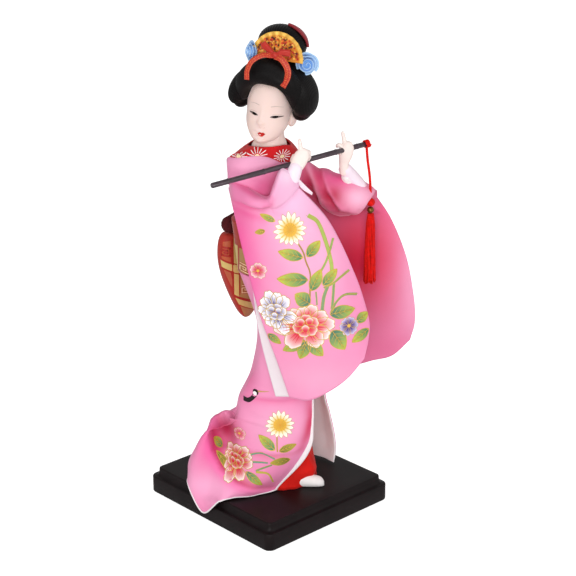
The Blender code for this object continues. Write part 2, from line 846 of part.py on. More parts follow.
FINGER = (1.5, 1.4, 1.1)
hand_right = hand(
    "hand_right",
    (
        (13.6, 19.6, 214.5), (15.4, 19.2, 218.5), (17.6, 19.0, 223.0), (20.2, 18.6, 228.0),
        (21.4, 18.4, 230.6),
    ),
    ((3.0, 2.5), (3.2, 2.6), (4.4, 2.8), (4.4, 2.5), (3.2, 1.9)),
    (
        (((19.4, 18.6, 228.0), (19.4, 18.2, 232.5), (18.8, 17.6, 237.0)), FINGER),
        (((22.0, 18.4, 230.4), (24.2, 16.6, 229.6), (24.2, 14.0, 226.8)), FINGER),
        (((22.4, 18.4, 227.6), (24.4, 16.4, 227.0), (24.0, 13.8, 224.4)), FINGER),
        (((15.4, 19.0, 220.5), (14.6, 17.0, 224.5), (15.4, 14.6, 227.0)), FINGER),
    ),
)
hand_left = hand(
    "hand_left",
    (
        (46.2, -5.6, 211.5), (45.8, -4.6, 217.0), (46.6, -3.2, 222.0), (47.6, -2.4, 227.0),
        (47.8, -2.4, 229.4),
    ),
    ((3.0, 2.5), (3.0, 2.5), (4.0, 2.7), (4.0, 2.4), (3.0, 1.9)),
    (
        (((46.2, -2.6, 228.0), (45.6, -3.0, 232.0), (44.8, -3.4, 236.0)), FINGER),
        (((44.6, -3.0, 227.8), (42.4, -2.4, 228.8), (41.6, -4.6, 227.6)), FINGER),
        (((44.4, -3.2, 224.8), (42.0, -1.6, 225.0), (41.4, -4.4, 223.4)), FINGER),
        (((48.8, -3.6, 222.0), (50.4, -4.8, 226.0), (49.0, -6.4, 229.0)), FINGER),
    ),
)
for palm in (hand_right, hand_left):
    clear(palm, flute, gap=0.12)

arm_right = limb(
    "arm_right",
    posed_all(((-15, 21.5, 203), (-8, 25.5, 203.6), (0, 26, 206), (7, 24, 210), (12.0, 20.6, 213.2))),
    (3.6, 3.8, 3.8, 3.4, 2.8),
    7,
    10,
    cotton,
)
arm_left = limb(
    "arm_left",
    posed_all(
        ((31, -15, 206), (38, -14, 202), (45.5, -12.5, 201.5), (48.5, -9.5, 204), (47.0, -6.6, 208.6)),
    ),
    (3.6, 3.8, 3.8, 3.4, 2.8),
    7,
    10,
    cotton,
)
clear(arm_right, bodice, hand_right)
clear(arm_left, bodice, hand_left)

cuff_right = limb(
    "cuff_right", posed_all(
        ((9.6, 22.0, 212.0), (12.0, 20.6, 214.4), (14.4, 19.5, 217.2)),
    ), (4.6, 4.4, 3.9), 4, 12, white_silk, blunt=0.05
)
cuff_left = limb(
    "cuff_left", posed_all(
        ((51.5, -10.5, 203.0), (49.0, -8.5, 207.5), (46.4, -6.2, 212.8)),
    ), (6.6, 5.4, 3.9), 4, 12, white_silk, blunt=0.05
)
room_right, room_left = grown(cuff_right, GAP), grown(cuff_left, GAP)
clear(cuff_right, arm_right, hand_right)
clear(cuff_left, arm_left, hand_left)

# Obi: a band round the waist, the flat bow behind, and the small pad over it
obi_levels = (WAIST_Z + GAP, 156, 168, 184, OBI_TOP - GAP)
obi_band = sleeve_of(
    "obi_band",
    [trunk_ring(z, OBI_CLOTH) for z in obi_levels] + [trunk_ring(z, GAP) for z in reversed(obi_levels)],
    brocade,
)
BOW_BACK = 17.3
BOW_MIDDLE = 4.0
BOW_SHAPE = (
    (175.5, 14.0, 2.0),
    (174.0, 19.0, 5.5),
    (168.0, 21.5, 7.0),
    (158.0, 22.0, 7.4),
    (148.0, 20.0, 7.0),
    (138.0, 16.0, 6.0),
    (128.0, 11.5, 4.8),
    (119.0, 6.5, 3.4),
    (114.5, 2.6, 1.6),
)
obi_bow = loft(
    "obi_bow",
    [oval(w, d, z, 20, (BOW_MIDDLE, BOW_BACK + 7.0), 2.8) for z, w, d in BOW_SHAPE],
    brocade,
)
clear(obi_bow, obi_band, gap=SEAT)
obi_pad = limb(
    "obi_pad", (
        (-12.5, 20.5, 181.0), (3, 22.0, 182.0), (19.5, 20.5, 181.0),
    ), (5.0, 5.8, 5.0), 6, 12, maroon, blunt=0.7
)
clear(obi_pad, obi_band, obi_bow, gap=SEAT)

# Red under-kimono, between the legs and the pink skirt
UNDER_HEM = (
    (4, 26.5), (12, 27.0), (20.5, 21.8), (26, 16.4), (29.6, 8), (30, -4), (26, -13), (14, -16),
    (0, -11), (-8, 0), (-10, 12), (-4.5, 21),
)
UNDER_Z = (60, 73, 92, 120, WAIST_Z)
UNDER_ACROSS = (9.0, 10.0, 10.8, 10.2, 0.4)
UNDER_TOWARD = (6.0, 7.5, 6.5, 5.0, 0.6)
UNDER_R = (15.0, 14.0, 13.4, 13.0, 14.6)


def under_ring(z):
    if z < UNDER_Z[0]:
        hem = np.array(UNDER_HEM, float)
        middle = hem.mean(axis=0)
        t = (z - BASE_TOP) / (UNDER_Z[0] - BASE_TOP)
        placed = middle + (hem - middle) * (1 - 0.28 * t**0.7)
        return np.array([posed(a, b, z) for a, b in through(placed, 28, closed=True)])
    across, toward, wide = (np.interp(z, UNDER_Z, row) for row in (UNDER_ACROSS, UNDER_TOWARD, UNDER_R))
    angles = math.radians(-128) + np.linspace(0, 2 * math.pi, 28, endpoint=False)
    return posed(across, toward, z) + wide * np.stack(
        [np.cos(angles), np.sin(angles), 0 * angles], axis=1,
    )


under_levels = (BASE_TOP + SEAT, 26, 40, 60, 73, 92, 120, WAIST_Z - GAP)
under_skirt = loft("under_skirt", [under_ring(z) for z in under_levels], red_silk)
clear(under_skirt, foot_right, foot_left, WIRES["right"], WIRES["left"])
clear(under_skirt, leg_right, leg_left, body_core)

# Kimono skirt: rows from the waist to the hem, each from the front edge round the back to the far edge
SKIRT_ROWS = (
    (
        (15, 9, 152.5), (9, 14.5, 152.5), (1, 17.2, 152.5), (-7, 15.8, 152.5), (-13, 11.5, 152.5),
        (-16.6, 5, 152.5), (-17, -2, 152.5), (-13.5, -10, 152.5), (-6, -15.6, 152.5), (2, -17, 152.5),
        (10, -14, 152.5), (15.2, -8, 152.5), (17.2, 0, 152.5),
    ),
    (
        (25, 14, 120), (19, 19.5, 120), (11, 22, 120), (3, 21, 120), (-3.5, 16.5, 120), (-6, 9, 120),
        (-6.2, 1, 120), (-3, -6, 120), (3, -10.8, 120), (10.5, -12.4, 120), (18, -10.5, 120),
        (23.5, -5, 120), (26.4, 3, 120),
    ),
    (
        (27, 18, 92), (21, 23.5, 92), (12, 26.5, 92), (3, 26, 92), (-5, 22, 92), (-9, 14, 92),
        (-9.5, 6, 92), (-6, -3, 92), (1, -10, 92), (10, -14, 92), (20, -13.5, 92), (28, -8.5, 92),
        (31, -1, 92),
    ),
    (
        (27, 24, 73), (18.5, 29, 73), (8.5, 31, 73), (-2, 30, 73), (-11, 26, 74), (-16.5, 19, 75),
        (-17, 9, 75), (-12, -4, 74), (-2, -14, 73), (9, -19, 73), (21, -19, 73), (31, -14, 73),
        (34.5, -7, 73),
    ),
    (
        (27, 25, 67), (18.5, 30, 67), (8.5, 32, 67), (-2, 31, 67), (-11.5, 27, 68), (-18, 22, 69),
        (-19, 12, 69), (-14.5, 0, 68), (-4, -13.5, 67), (8, -20, 67), (21, -20.5, 67), (32, -15, 67),
        (35.8, -8, 67),
    ),
    (
        (26.5, 26, 59), (18, 31, 58), (8, 33, 58), (-2, 32, 59), (-12, 28, 61), (-20, 24.5, 66),
        (-31, 21, 63), (-29, 8, 58), (-13, -14, 54), (5, -21, 53), (20, -24, 53), (33, -19, 53),
        (39, -10, 53),
    ),
    (
        (24.5, 26, 48), (15, 32, 46), (4, 35, 44), (-8, 33, 44), (-19, 28, 47), (-28, 22, 54),
        (-39, 25, 54), (-38, 6, 44), (-18, -12, 39), (4, -22, 38), (20, -26, 38), (35, -20, 38),
        (42, -10, 38),
    ),
    (
        (16, 26.4, 33), (8, 31.5, 31), (-2, 35, 28), (-12, 36, 26), (-22, 34, 29), (-32, 28, 38),
        (-46, 28, 38), (-47, 12, 31), (-24, -8, 27), (2, -20, 26), (20, -25, 26), (35, -19, 26),
        (43, -10, 26),
    ),
    (
        (4, 28, 17.9), (-4, 32, 17.9), (-13, 36, 17.9), (-22, 39, 18.2), (-31, 42.5, 16.5),
        (-41, 36, 6.5), (-50, 25, 21), (-46, 8, 18.2), (-26, -6, 18), (0, -18, 18), (19, -24, 18),
        (34, -18.5, 18), (42, -10, 18),
    ),
)
SKIRT_CLOTH = 1.0


def off_the_base(grid, room):
    """Lifts what would sink into the base: onto its top, or out past its side."""
    grid = grid.copy()
    for point in grid.reshape(-1, 3):
        out = -point[0] - BASE_X / 2
        if out < room and point[2] < BASE_TOP + room:
            if BASE_TOP + room - point[2] < room - out:
                point[2] = BASE_TOP + room
            else:
                point[0] = -BASE_X / 2 - room
    return grid


def tuck(grid):
    """Fold across the front of the skirt, under which the lower cloth is tucked."""
    grid = grid.copy()
    normals = grid_normals(grid)
    down, wide = grid.shape[:2]
    for c in range(wide):
        for r in range(down):
            lift = 1.6 * math.exp(-(((grid[r, c, 2] - 79) / 5.0) ** 2))
            side = min(1.0, c / (0.2 * wide)) * max(0.0, 1 - c / (0.62 * wide))
            grid[r, c] += normals[r, c] * lift * side
    return grid


skirt_rows = [posed_all(row) for row in SKIRT_ROWS]
skirt_grid = off_the_base(tuck(patch(skirt_rows, 17, 24)), 1.0)
kimono_skirt = sheet("kimono_skirt", skirt_grid, SKIRT_CLOTH, pink)

# White lining inside the far front of the skirt
lining_rows = [row[8:] for row in skirt_rows]
lining_grid = patch(lining_rows, 12, 7)
lining_middle = posed_all([(14, 4, z) for z in lining_grid[:, 3, 2]])
inward = lining_middle[:, None, :] - lining_grid
inward[:, :, 2] = 0
inward = inward / np.linalg.norm(inward, axis=2, keepdims=True)
skirt_lining = sheet("skirt_lining", lining_grid + inward * 1.35, 0.6, white_silk)
clear(kimono_skirt, base_plate, under_skirt, gap=0.2)
clear(skirt_lining, kimono_skirt, under_skirt, base_plate, gap=0.2)

# Near sleeve: the tube round the forearm and the long bag under it
NEAR_ROWS = (
    ((-19.5, 199), (-10, 200), (1.5, 201), (13.5, 203), (24.5, 204)),
    ((-15.5, 181), (-3, 181.5), (9.5, 184), (24, 188), (35.5, 189.5)),
    ((-10.5, 155.5), (5, 156), (20.5, 159), (35.5, 164), (47, 165.5)),
    ((-4, 130.5), (12, 130.5), (28, 132.5), (44.5, 139), (55.5, 142.5)),
    ((4, 104.5), (20, 105), (36, 109), (51.5, 116), (60.5, 125)),
    ((14, 77), (26, 78.5), (37, 82.5), (49, 91), (59, 108)),
)
NEAR_TOWARD = (
    (24, 26, 26, 24, 19), (26, 28, 28.5, 27, 22), (27.5, 30, 30.5, 28.5, 24), (29, 32.5, 33, 31, 26),
    (32.5, 36, 36.5, 34, 29.5), (35.5, 39, 40, 37.5, 32.5),
)
SLEEVE_THICK = 5.0
near_rows = [
    posed_all(
        [(a, d, z)
        for (a, z), d in zip(row, toward)]
    ) for row, toward in zip(NEAR_ROWS, NEAR_TOWARD)
]
sleeve_right = pillow("sleeve_right", patch(near_rows, 13, 10), SLEEVE_THICK, pink)
near_tube = limb(
    "tube",
    posed_all(((-16.2, 18.5, 202), (-8, 24, 203), (0, 26, 205), (7, 24.2, 210), (11.8, 21.2, 214.6))),
    (7.2, 7.6, 7.8, 7.0, 5.6),
    10,
    14,
    None,
    blunt=0.35,
)
join(sleeve_right, near_tube)
cut_away(sleeve_right, room_right)
clear(sleeve_right, bodice, obi_band, hand_right, arm_right)
clear(sleeve_right, flute, obi_pad)

lining_strip = [
    posed_all([(a, d, z), (a + 3.5 + wide, d + 0.6, z)])
    for a, d, z, wide in (
        (-9.4, 22.6, 152, 0), (-7, 24.8, 131, 2.5), (-3.6, 27.4, 114.5, 5), (0.6, 30.4, 95, 8),
        (5, 33.8, 77.5, 11),
    )
]
sleeve_right_lining = sheet("sleeve_right_lining", patch(lining_strip, 10, 5), 0.8, white_silk)
clear(sleeve_right_lining, sleeve_right, gap=SEAT)

# Far sleeve: the same, hanging from the other arm
FAR_ROWS = (
    ((24, 206), (37, 200), (49, 199), (58.5, 199), (66.5, 196)),
    ((26, 178), (41, 177), (54.5, 179), (66, 181), (76, 175.5)),
    ((29, 151), (45.5, 151), (61, 153), (74.5, 155), (84.5, 153)),
    ((32, 124.5), (49.5, 125.5), (66.5, 127), (81.5, 130), (91, 126.5)),
    ((34.5, 99), (52, 99), (68, 101), (83, 105), (93, 109.5)),
    ((37, 75), (52, 78.5), (66, 83), (79, 86.5), (91, 98)),
)
far_rows = [posed_all([(a, -22.0, z) for a, z in row]) for row in FAR_ROWS]
sleeve_left = pillow("sleeve_left", patch(far_rows, 13, 10), SLEEVE_THICK, pink)
far_tube = limb(
    "tube",
    posed_all(
        (
            (22, -15, 215.5), (29, -15.5, 208.5), (36, -15.5, 202), (44.5, -15.5, 200),
            (53, -16.5, 200), (60.5, -18.5, 198),
        ),
    ),
    ((5.0, 5.5), (6.0, 7.5), (7.0, 9.0), (7.5, 9.6), (7.0, 8.5), (4.5, 5.0)),
    10,
    14,
    None,
    blunt=0.4,
)
join(sleeve_left, far_tube)
cut_away(sleeve_left, room_left)
clear(sleeve_left, bodice, obi_band, hand_left, arm_left)
clear(sleeve_left, kimono_skirt, skirt_lining, gap=0.4)

# Tassel: a wrap round the flute, the cord that hangs from it, its knot, bead and skirt
hang = flute_line[0] + flute_way * TASSEL_ALONG
unit = flute_way / np.linalg.norm(flute_way)
wrap = tube_rings(
    [hang - unit * 1.6, hang - unit * 1.5, hang + unit * 1.5, hang + unit * 1.6],
    [FLUTE_R + 0.5, FLUTE_R + 0.9, FLUTE_R + 0.9, FLUTE_R + 0.5], 12,
)
tassel_binding = loft("tassel_binding", wrap, thread)
clear(tassel_binding, flute, gap=0.1)

cord_top = hang + np.array([0, 0, -FLUTE_R - 1.0 - CORD_R - SEAT])
sway = posed(1, 0, 0) * 3.0
cord_path = [
    cord_top,
    cord_top + sway * 0.25 - np.array([0, 0, CORD_DROP * 0.25]),
    cord_top + sway * 0.75 - np.array([0, 0, CORD_DROP * 0.6]),
    cord_top + sway - np.array([0, 0, CORD_DROP]),
]
cord_data = bpy.data.curves.new("tassel_cord", "CURVE")
cord_data.dimensions = "3D"
cord_data.bevel_depth = CORD_R * MM
cord_data.bevel_resolution = 2
cord_data.use_fill_caps = True
cord_line = through(cord_path, 12)
spline = cord_data.splines.new("POLY")
spline.points.add(len(cord_line) - 1)
for point, place in zip(spline.points, cord_line):
    point.co = (*(np.array(place) * MM), 1.0)
tassel_cord = bpy.data.objects.new("tassel_cord", cord_data)
tassel_cord.data.materials.append(thread)
bpy.context.scene.collection.objects.link(tassel_cord)

knot_middle = cord_path[-1] - np.array([0, 0, KNOT_R + SEAT])
tassel_knot = ball("tassel_knot", knot_middle, (KNOT_R * 1.15, KNOT_R, KNOT_R), thread, None, 8, 12)
bead_middle = knot_middle - np.array([0, 0, KNOT_R + BEAD_R + SEAT])
tassel_bead = ball("tassel_bead", bead_middle, (BEAD_R, BEAD_R, BEAD_R), brass, None, 8, 12)
skirt_top = bead_middle - np.array([0, 0, BEAD_R + SEAT])
tassel_skirt = turned_solid(
    "tassel_skirt",
    (
        (1.0, 0), (2.0, -0.8), (2.5, -4), (2.8, -14), (3.4, -28), (4.2, -SKIRT_LENGTH + 1),
        (4.0, -SKIRT_LENGTH),
    ),
    skirt_top,
    thread,
    20,
)
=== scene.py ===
# %% [markdown]
# A dressed doll that holds a flute, about 30 cm tall with its base. The solids of the doll are
# already built, with sizes estimated from one photo. This file loads them and gives each one its
# look: satin with a dyed and gilded print, combed black hair, a painted face, lacquered wood and
# a silk tassel.

import math

import bpy
import numpy as np
from mathutils import Matrix, Vector
from mathutils.bvhtree import BVHTree


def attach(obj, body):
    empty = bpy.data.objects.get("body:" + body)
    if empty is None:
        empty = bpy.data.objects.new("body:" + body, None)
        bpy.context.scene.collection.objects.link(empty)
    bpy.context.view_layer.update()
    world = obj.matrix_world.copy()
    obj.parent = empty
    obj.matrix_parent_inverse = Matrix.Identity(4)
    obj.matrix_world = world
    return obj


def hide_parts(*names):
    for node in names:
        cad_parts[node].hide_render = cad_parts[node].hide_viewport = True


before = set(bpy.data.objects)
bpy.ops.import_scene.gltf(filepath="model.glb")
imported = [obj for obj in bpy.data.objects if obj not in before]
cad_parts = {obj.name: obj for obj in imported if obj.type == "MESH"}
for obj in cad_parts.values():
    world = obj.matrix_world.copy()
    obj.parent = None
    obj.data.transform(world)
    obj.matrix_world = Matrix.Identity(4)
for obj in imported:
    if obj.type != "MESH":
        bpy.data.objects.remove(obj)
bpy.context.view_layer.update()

# %% [markdown]
# The doll stands turned a little away. Most of her clothes are easier to describe as they are
# seen from her right front: so many millimetres across to the right, toward the viewer, and up.
# Her head has its own axes: to her left, backward and up from its middle.

# %% Places, in millimetres
MM = 0.001
VIEW_TURN = math.radians(42.4)
ACROSS = np.array([math.cos(VIEW_TURN), -math.sin(VIEW_TURN), 0.0])
TOWARD = np.array([-math.sin(VIEW_TURN), -math.cos(VIEW_TURN), 0.0])
POSE_AXES = np.array([ACROSS, TOWARD, (0.0, 0.0, 1.0)])


def posed(points):
    return np.asarray(points, float) @ POSE_AXES


def turned(degrees, axis):
    return np.array(Matrix.Rotation(math.radians(degrees), 3, axis))


HEAD = np.array([-1.1, -5.7, 253.7])
HEAD_AXES = turned(-64.0, "Z") @ turned(6.0, "X") @ turned(7.5, "Y")


def on_head(points):
    return np.asarray(points, float) @ HEAD_AXES.T + HEAD


def through(points, count, closed=False):
    """Smooth curve through the points. It also takes whole rows of points in place of each point."""
    points = np.asarray(points, float)
    n = len(points)
    steps = np.linspace(0, n if closed else n - 1, count, endpoint=not closed)
    i = np.floor(steps).astype(int)
    if closed:
        a, b, c, d = (points[(i + k) % n] for k in (-1, 0, 1, 2))
    else:
        i = np.clip(i, 0, n - 2)
        padded = np.concatenate([2 * points[:1] - points[1:2], points, 2 * points[-1:] - points[-2:-1]])
        a, b, c, d = (padded[i + k] for k in range(4))
    t = (steps - i).reshape(-1, *[1] * (points.ndim - 1))
    return 0.5 * (
        2 * b + (c - a) * t + (2 * a - 5 * b + 4 * c - d) * t**2 + (3 * b - a - 3 * c + d) * t**3
    )


def patch(rows, down, across):
    """Grid of points through rows of control points."""
    rows = np.asarray(rows, float)
    wide = through(rows.swapaxes(0, 1), across).swapaxes(0, 1)
    return through(wide, down)


# %% [markdown]
# Every shape is a mesh of rows of points. Cloth is a grid with a front and a back, so it has a
# real thickness. Limbs, hair and cords are rings along a path.

# %% Shapes out of rows of points
SPREAD = "Tint"


def add_mesh(name, points, faces, material, tint=None, replaces=()):
    """One piece of the doll, with an optional colour at each point."""
    points = np.asarray(points, float).reshape(-1, 3)
    a, b, c = (points[[face[k] for face in faces]] for k in range(3))
    volume = np.einsum("ij,ij->i", a, np.cross(b, c)).sum()
    if volume < 0 and tint is not False:
        faces = [tuple(reversed(face)) for face in faces]
    mesh = bpy.data.meshes.new(name)
    mesh.from_pydata((points * MM).tolist(), [], faces)
    mesh.materials.append(material)
    mesh.shade_smooth()
    if tint is not None and tint is not False:
        layer = mesh.color_attributes.new(SPREAD, "FLOAT_COLOR", "POINT")
        colours = np.ones((len(points), 4))
        colours[:, :3] = np.asarray(tint, float).reshape(-1, 3)
        layer.data.foreach_set("color", colours.astype(np.float32).ravel())
    piece = bpy.data.objects.new(name, mesh)
    bpy.context.scene.collection.objects.link(piece)
    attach(piece, "root")
    if replaces:
        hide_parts(*replaces)
    return piece


def grid_faces(rows, columns, start=0, flip=False):
    faces = []
    for r in range(rows - 1):
        for c in range(columns - 1):
            a = start + r * columns + c
            face = (a, a + 1, a + columns + 1, a + columns)
            faces.append(face[::-1] if flip else face)
    return faces


def grid_normals(grid):
    normals = np.cross(np.gradient(grid, axis=0), np.gradient(grid, axis=1))
    return normals / np.maximum(np.linalg.norm(normals, axis=2, keepdims=True), 1e-9)


def between(name, front, back, material, tint=None, replaces=()):
    """Closed piece between two grids of the same size. The tint is one grid of colours for both."""
    rows, columns = front.shape[:2]
    half = rows * columns
    faces = grid_faces(rows, columns) + grid_faces(rows, columns, half, flip=True)
    rim = list(range(columns))
    rim += [r * columns + columns - 1 for r in range(1, rows)]
    rim += [(rows - 1) * columns + c for c in range(columns - 2, -1, -1)]
    rim += [r * columns for r in range(rows - 2, 0, -1)]
    for i, a in enumerate(rim):
        b = rim[(i + 1) % len(rim)]
        faces.append((b, a, half + a, half + b))
    points = np.concatenate([front.reshape(-1, 3), back.reshape(-1, 3)])
    if tint is not None:
        tint = np.concatenate(
            [np.reshape(t, (-1, 3)) for t in (tint if isinstance(tint, tuple) else (tint, tint))]
        )
    return add_mesh(name, points, faces, material, tint, replaces)


def cloth(name, grid, thick, material, tint=None, replaces=()):
    lift = grid_normals(grid) * thick / 2
    return between(name, grid + lift, grid - lift, material, tint, replaces)


def rings_along(path, radii, sides, up=(0, 0, 1), groove=0.0, grooves=0):
    """Rings round a path. Each radius is a pair: sideways, and along up. Grooves run along the path."""
    path = np.asarray(path, float)
    radii = np.asarray([r if np.ndim(r) else (r, r) for r in radii], float)
    tangents = np.gradient(path, axis=0)
    tangents /= np.linalg.norm(tangents, axis=1, keepdims=True)
    side = np.cross(tangents, up)
    side /= np.linalg.norm(side, axis=1, keepdims=True)
    top = np.cross(side, tangents)
    a = np.linspace(0, 2 * math.pi, sides, endpoint=False)
    wave = 1 + groove * np.sin(grooves * a)
    out = side[:, None] * (np.cos(a) * wave)[None, :, None] * radii[:, None, :1]
    out += top[:, None] * (np.sin(a) * wave)[None, :, None] * radii[:, None, 1:]
    return path[:, None] + out


def lofted(name, rings, material, tint=None, replaces=()):
    """Closed solid through rings of points."""
    rings = np.asarray(rings, float)
    count, size = rings.shape[:2]
    faces = []
    for k in range(count - 1):
        for i in range(size):
            j = (i + 1) % size
            faces.append((k * size + i, k * size + j, (k + 1) * size + j, (k + 1) * size + i))
    first, last = count * size, count * size + 1
    for i in range(size):
        j = (i + 1) % size
        faces.append((first, j, i))
        faces.append((last, (count - 1) * size + i, (count - 1) * size + j))
    points = np.concatenate([rings.reshape(-1, 3), [rings[0].mean(axis=0), rings[-1].mean(axis=0)]])
    if tint is not None:
        tint = np.asarray(tint, float)
        tint = np.concatenate(
            [tint.reshape(-1, 3), tint[0].mean(axis=0)[None], tint[-1].mean(axis=0)[None]]
        )
    return add_mesh(name, points, faces, material, tint, replaces)


def shell(name, rings, material, tint=None, replaces=()):
    """Wall that runs through the rings and back to the first one."""
    rings = np.asarray(rings, float)
    count, size = rings.shape[:2]
    faces = []
    for k in range(count):
        m = (k + 1) % count
        for i in range(size):
            j = (i + 1) % size
            faces.append((k * size + i, k * size + j, m * size + j, m * size + i))
    return add_mesh(name, rings.reshape(-1, 3), faces, material, tint, replaces)


def rounded(path, radii, count, ends=6):
    """Path and radii made smooth, with both ends drawn in to a dome."""
    line = through(path, count)
    sizes = through([r if np.ndim(r) else (r, r) for r in radii], count)
    for at_end in (0, -1):
        step = line[at_end] - line[1 if at_end == 0 else -2]
        step /= np.linalg.norm(step)
        reach = sizes[at_end].min()
        extra, small = [], []
        for k in range(1, ends + 1):
            a = math.pi / 2 * k / ends * 0.985
            extra.append(line[at_end] + step * reach * math.sin(a))
            small.append(sizes[at_end] * math.cos(a))
        if at_end == 0:
            line, sizes = np.vstack([extra[::-1], line]), np.vstack([small[::-1], sizes])
        else:
            line, sizes = np.vstack([line, extra]), np.vstack([sizes, small])
    return line, sizes


def limb(name, path, radii, count, sides, material, up=(0, 0, 1), replaces=(), groove=0.0, grooves=0):
    line, sizes = rounded(path, radii, count)
    return lofted(name, rings_along(line, sizes, sides, up, groove, grooves), material, None, replaces)


def ball_rings(centre, radii, axes=None, rows=24, sides=36):
    axes = np.eye(3) if axes is None else axes
    tilt = np.linspace(0.03, math.pi - 0.03, rows)[:, None]
    a = np.linspace(0, 2 * math.pi, sides, endpoint=False)[None]
    places = np.stack(
        [
            np.sin(tilt) * np.cos(a) * radii[0], np.sin(tilt) * np.sin(a) * radii[1],
            np.cos(tilt) * radii[2] + 0 * a
        ],
        axis=2,
    )
    return np.asarray(centre) + places @ axes.T


def oval(half_x, half_y, z, count, centre=(0.0, 0.0), square=2.0):
    a = np.linspace(0, 2 * math.pi, count, endpoint=False)
    c, s = np.cos(a), np.sin(a)
    x = half_x * np.sign(c) * np.abs(c) ** (2 / square)
    y = half_y * np.sign(s) * np.abs(s) ** (2 / square)
    return np.stack([centre[0] + x, centre[1] + y, np.full(count, float(z))], axis=1)


# %% [markdown]
# All finishes are made with shader nodes. A colour is written as it looks on screen and turned
# into light values by one function, and one small function adds a node.

# %% Colours and finishes
def colour(code):
    """Light values of an sRGB hex code."""
    parts = [int(code[i : i + 2], 16) / 255 for i in (1, 3, 5)]
    return np.array([p / 12.92 if p <= 0.04045 else ((p + 0.055) / 1.055) ** 2.4 for p in parts])


def one_colour(code, *shape):
    """The same tint for every point of a grid."""
    return np.tile(colour(code), (*shape, 1))


def node(tree, kind, inputs=None, **settings):
    """Adds a shader node, with its settings, and links or sets its inputs."""
    made = tree.nodes.new("ShaderNode" + kind)
    for key, value in settings.items():
        setattr(made, key, value)
    for key, value in (inputs or {}).items():
        if isinstance(value, bpy.types.NodeSocket):
            tree.links.new(value, made.inputs[key])
        else:
            made.inputs[key].default_value = value
    return made


def finish(name, roughness, metallic=0.0, specular=0.5, sheen=0.0, sheen_rough=0.4, coat=0.0, ior=1.5):
    """New material: the tree and its main shader."""
    made = bpy.data.materials.new(name)
    made.use_nodes = True
    tree = made.node_tree
    shader = tree.nodes["Principled BSDF"]
    values = {
        "Roughness": roughness,
        "Metallic": metallic,
        "Specular IOR Level": specular,
        "Sheen Weight": sheen,
        "Sheen Roughness": sheen_rough,
        "Coat Weight": coat,
        "IOR": ior,
    }
    for key, value in values.items():
        shader.inputs[key].default_value = value
    return made, tree, shader


def weave_bump(tree, shader, pitch, depth):
    """Fine threads both ways, pitch in millimetres, as a bump."""
    place = node(tree, "TexCoord").outputs["Object"]
    wide = node(
        tree, "TexWave", {"Vector": place, "Scale": 1000 / pitch / 20, "Distortion": 1.5},
        bands_direction="Z"
    )
    tall = node(tree, "TexNoise", {"Vector": place, "Scale": 1000 / pitch / 2, "Detail": 2.0})
    both = node(tree, "Math", {0: wide.outputs["Fac"], 1: tall.outputs["Fac"]}, operation="ADD")
    bump = node(tree, "Bump", {"Strength": 0.25, "Distance": depth * MM, "Height": both.outputs[0]})
    tree.links.new(bump.outputs["Normal"], shader.inputs["Normal"])


def tinted(tree, shader, spread=0.06, scale=0.02):
    """Colour from the points' own tint, a little uneven over each patch of the given size in metres."""
    own = node(tree, "Attribute", attribute_name=SPREAD)
    place = node(tree, "TexCoord").outputs["Object"]
    noise = node(tree, "TexNoise", {"Vector": place, "Scale": 1 / scale, "Detail": 3.0})
    level = node(
        tree, "MapRange",
        {"Value": noise.outputs["Fac"], "To Min": 1 - spread, "To Max": 1 + spread}
    )
    mixed = node(
        tree, "VectorMath", {0: own.outputs["Color"], 1: level.outputs["Result"]},
        operation="MULTIPLY"
    )
    tree.links.new(mixed.outputs["Vector"], shader.inputs["Base Color"])


def plain(tree, shader, code, spread=0.06, scale=0.02):
    place = node(tree, "TexCoord").outputs["Object"]
    noise = node(tree, "TexNoise", {"Vector": place, "Scale": 1 / scale, "Detail": 3.0})
    base = colour(code)
    ramp = node(tree, "ValToRGB", {"Fac": noise.outputs["Fac"]})
    ramp.color_ramp.elements[0].color = (*np.clip(base * (1 - spread), 0, 1), 1)
    ramp.color_ramp.elements[0].position = 0.3
    ramp.color_ramp.elements[1].color = (*np.clip(base * (1 + spread), 0, 1), 1)
    ramp.color_ramp.elements[1].position = 0.7
    tree.links.new(ramp.outputs["Color"], shader.inputs["Base Color"])


# Satin: long floats of thread, so it shines softly along its folds.
satin, tree, shader = finish("satin_woven", 0.5, specular=0.25, sheen=0.2, sheen_rough=0.3)
tinted(tree, shader)
weave_bump(tree, shader, 0.35, 0.03)

# Plain woven lining: matt, a little warm.
lining, tree, shader = finish("lining_plain_woven", 0.75, specular=0.2, sheen=0.2)
tinted(tree, shader, 0.03)
weave_bump(tree, shader, 0.4, 0.04)

# Dyed print: dye sits in the satin, so it keeps a part of its shine.
dye, tree, shader = finish("dyed_print", 0.5, specular=0.3, sheen=0.2)
tinted(tree, shader, 0.08, 0.004)

# Gold outline, printed with metal powder.
gilt, tree, shader = finish("gold_powder_print", 0.45, metallic=0.35, specular=0.4)
plain(tree, shader, "#c9a441", 0.2, 0.002)

# Red under-kimono cloth.
red_cloth, tree, shader = finish("red_cloth_woven", 0.65, specular=0.1, sheen=0.08)
plain(tree, shader, "#cb1a13", 0.1, 0.01)
weave_bump(tree, shader, 0.5, 0.05)

# Collar cloth, dyed red.
collar_red, tree, shader = finish("collar_cloth_dyed", 0.7, specular=0.12, sheen=0.1)
plain(tree, shader, "#c81a20", 0.12, 0.006)
weave_bump(tree, shader, 0.4, 0.04)

# Obi brocade: stiff woven cloth with raised threads.
brocade, tree, shader = finish("brocade_woven", 0.6, specular=0.3, sheen=0.2)
tinted(tree, shader, 0.15, 0.002)
weave_bump(tree, shader, 0.5, 0.12)

# Crepe puff over the obi.
crepe_dark, tree, shader = finish("crepe_maroon", 0.85, specular=0.2)
plain(tree, shader, "#4a0f14", 0.25, 0.003)
weave_bump(tree, shader, 0.9, 0.3)

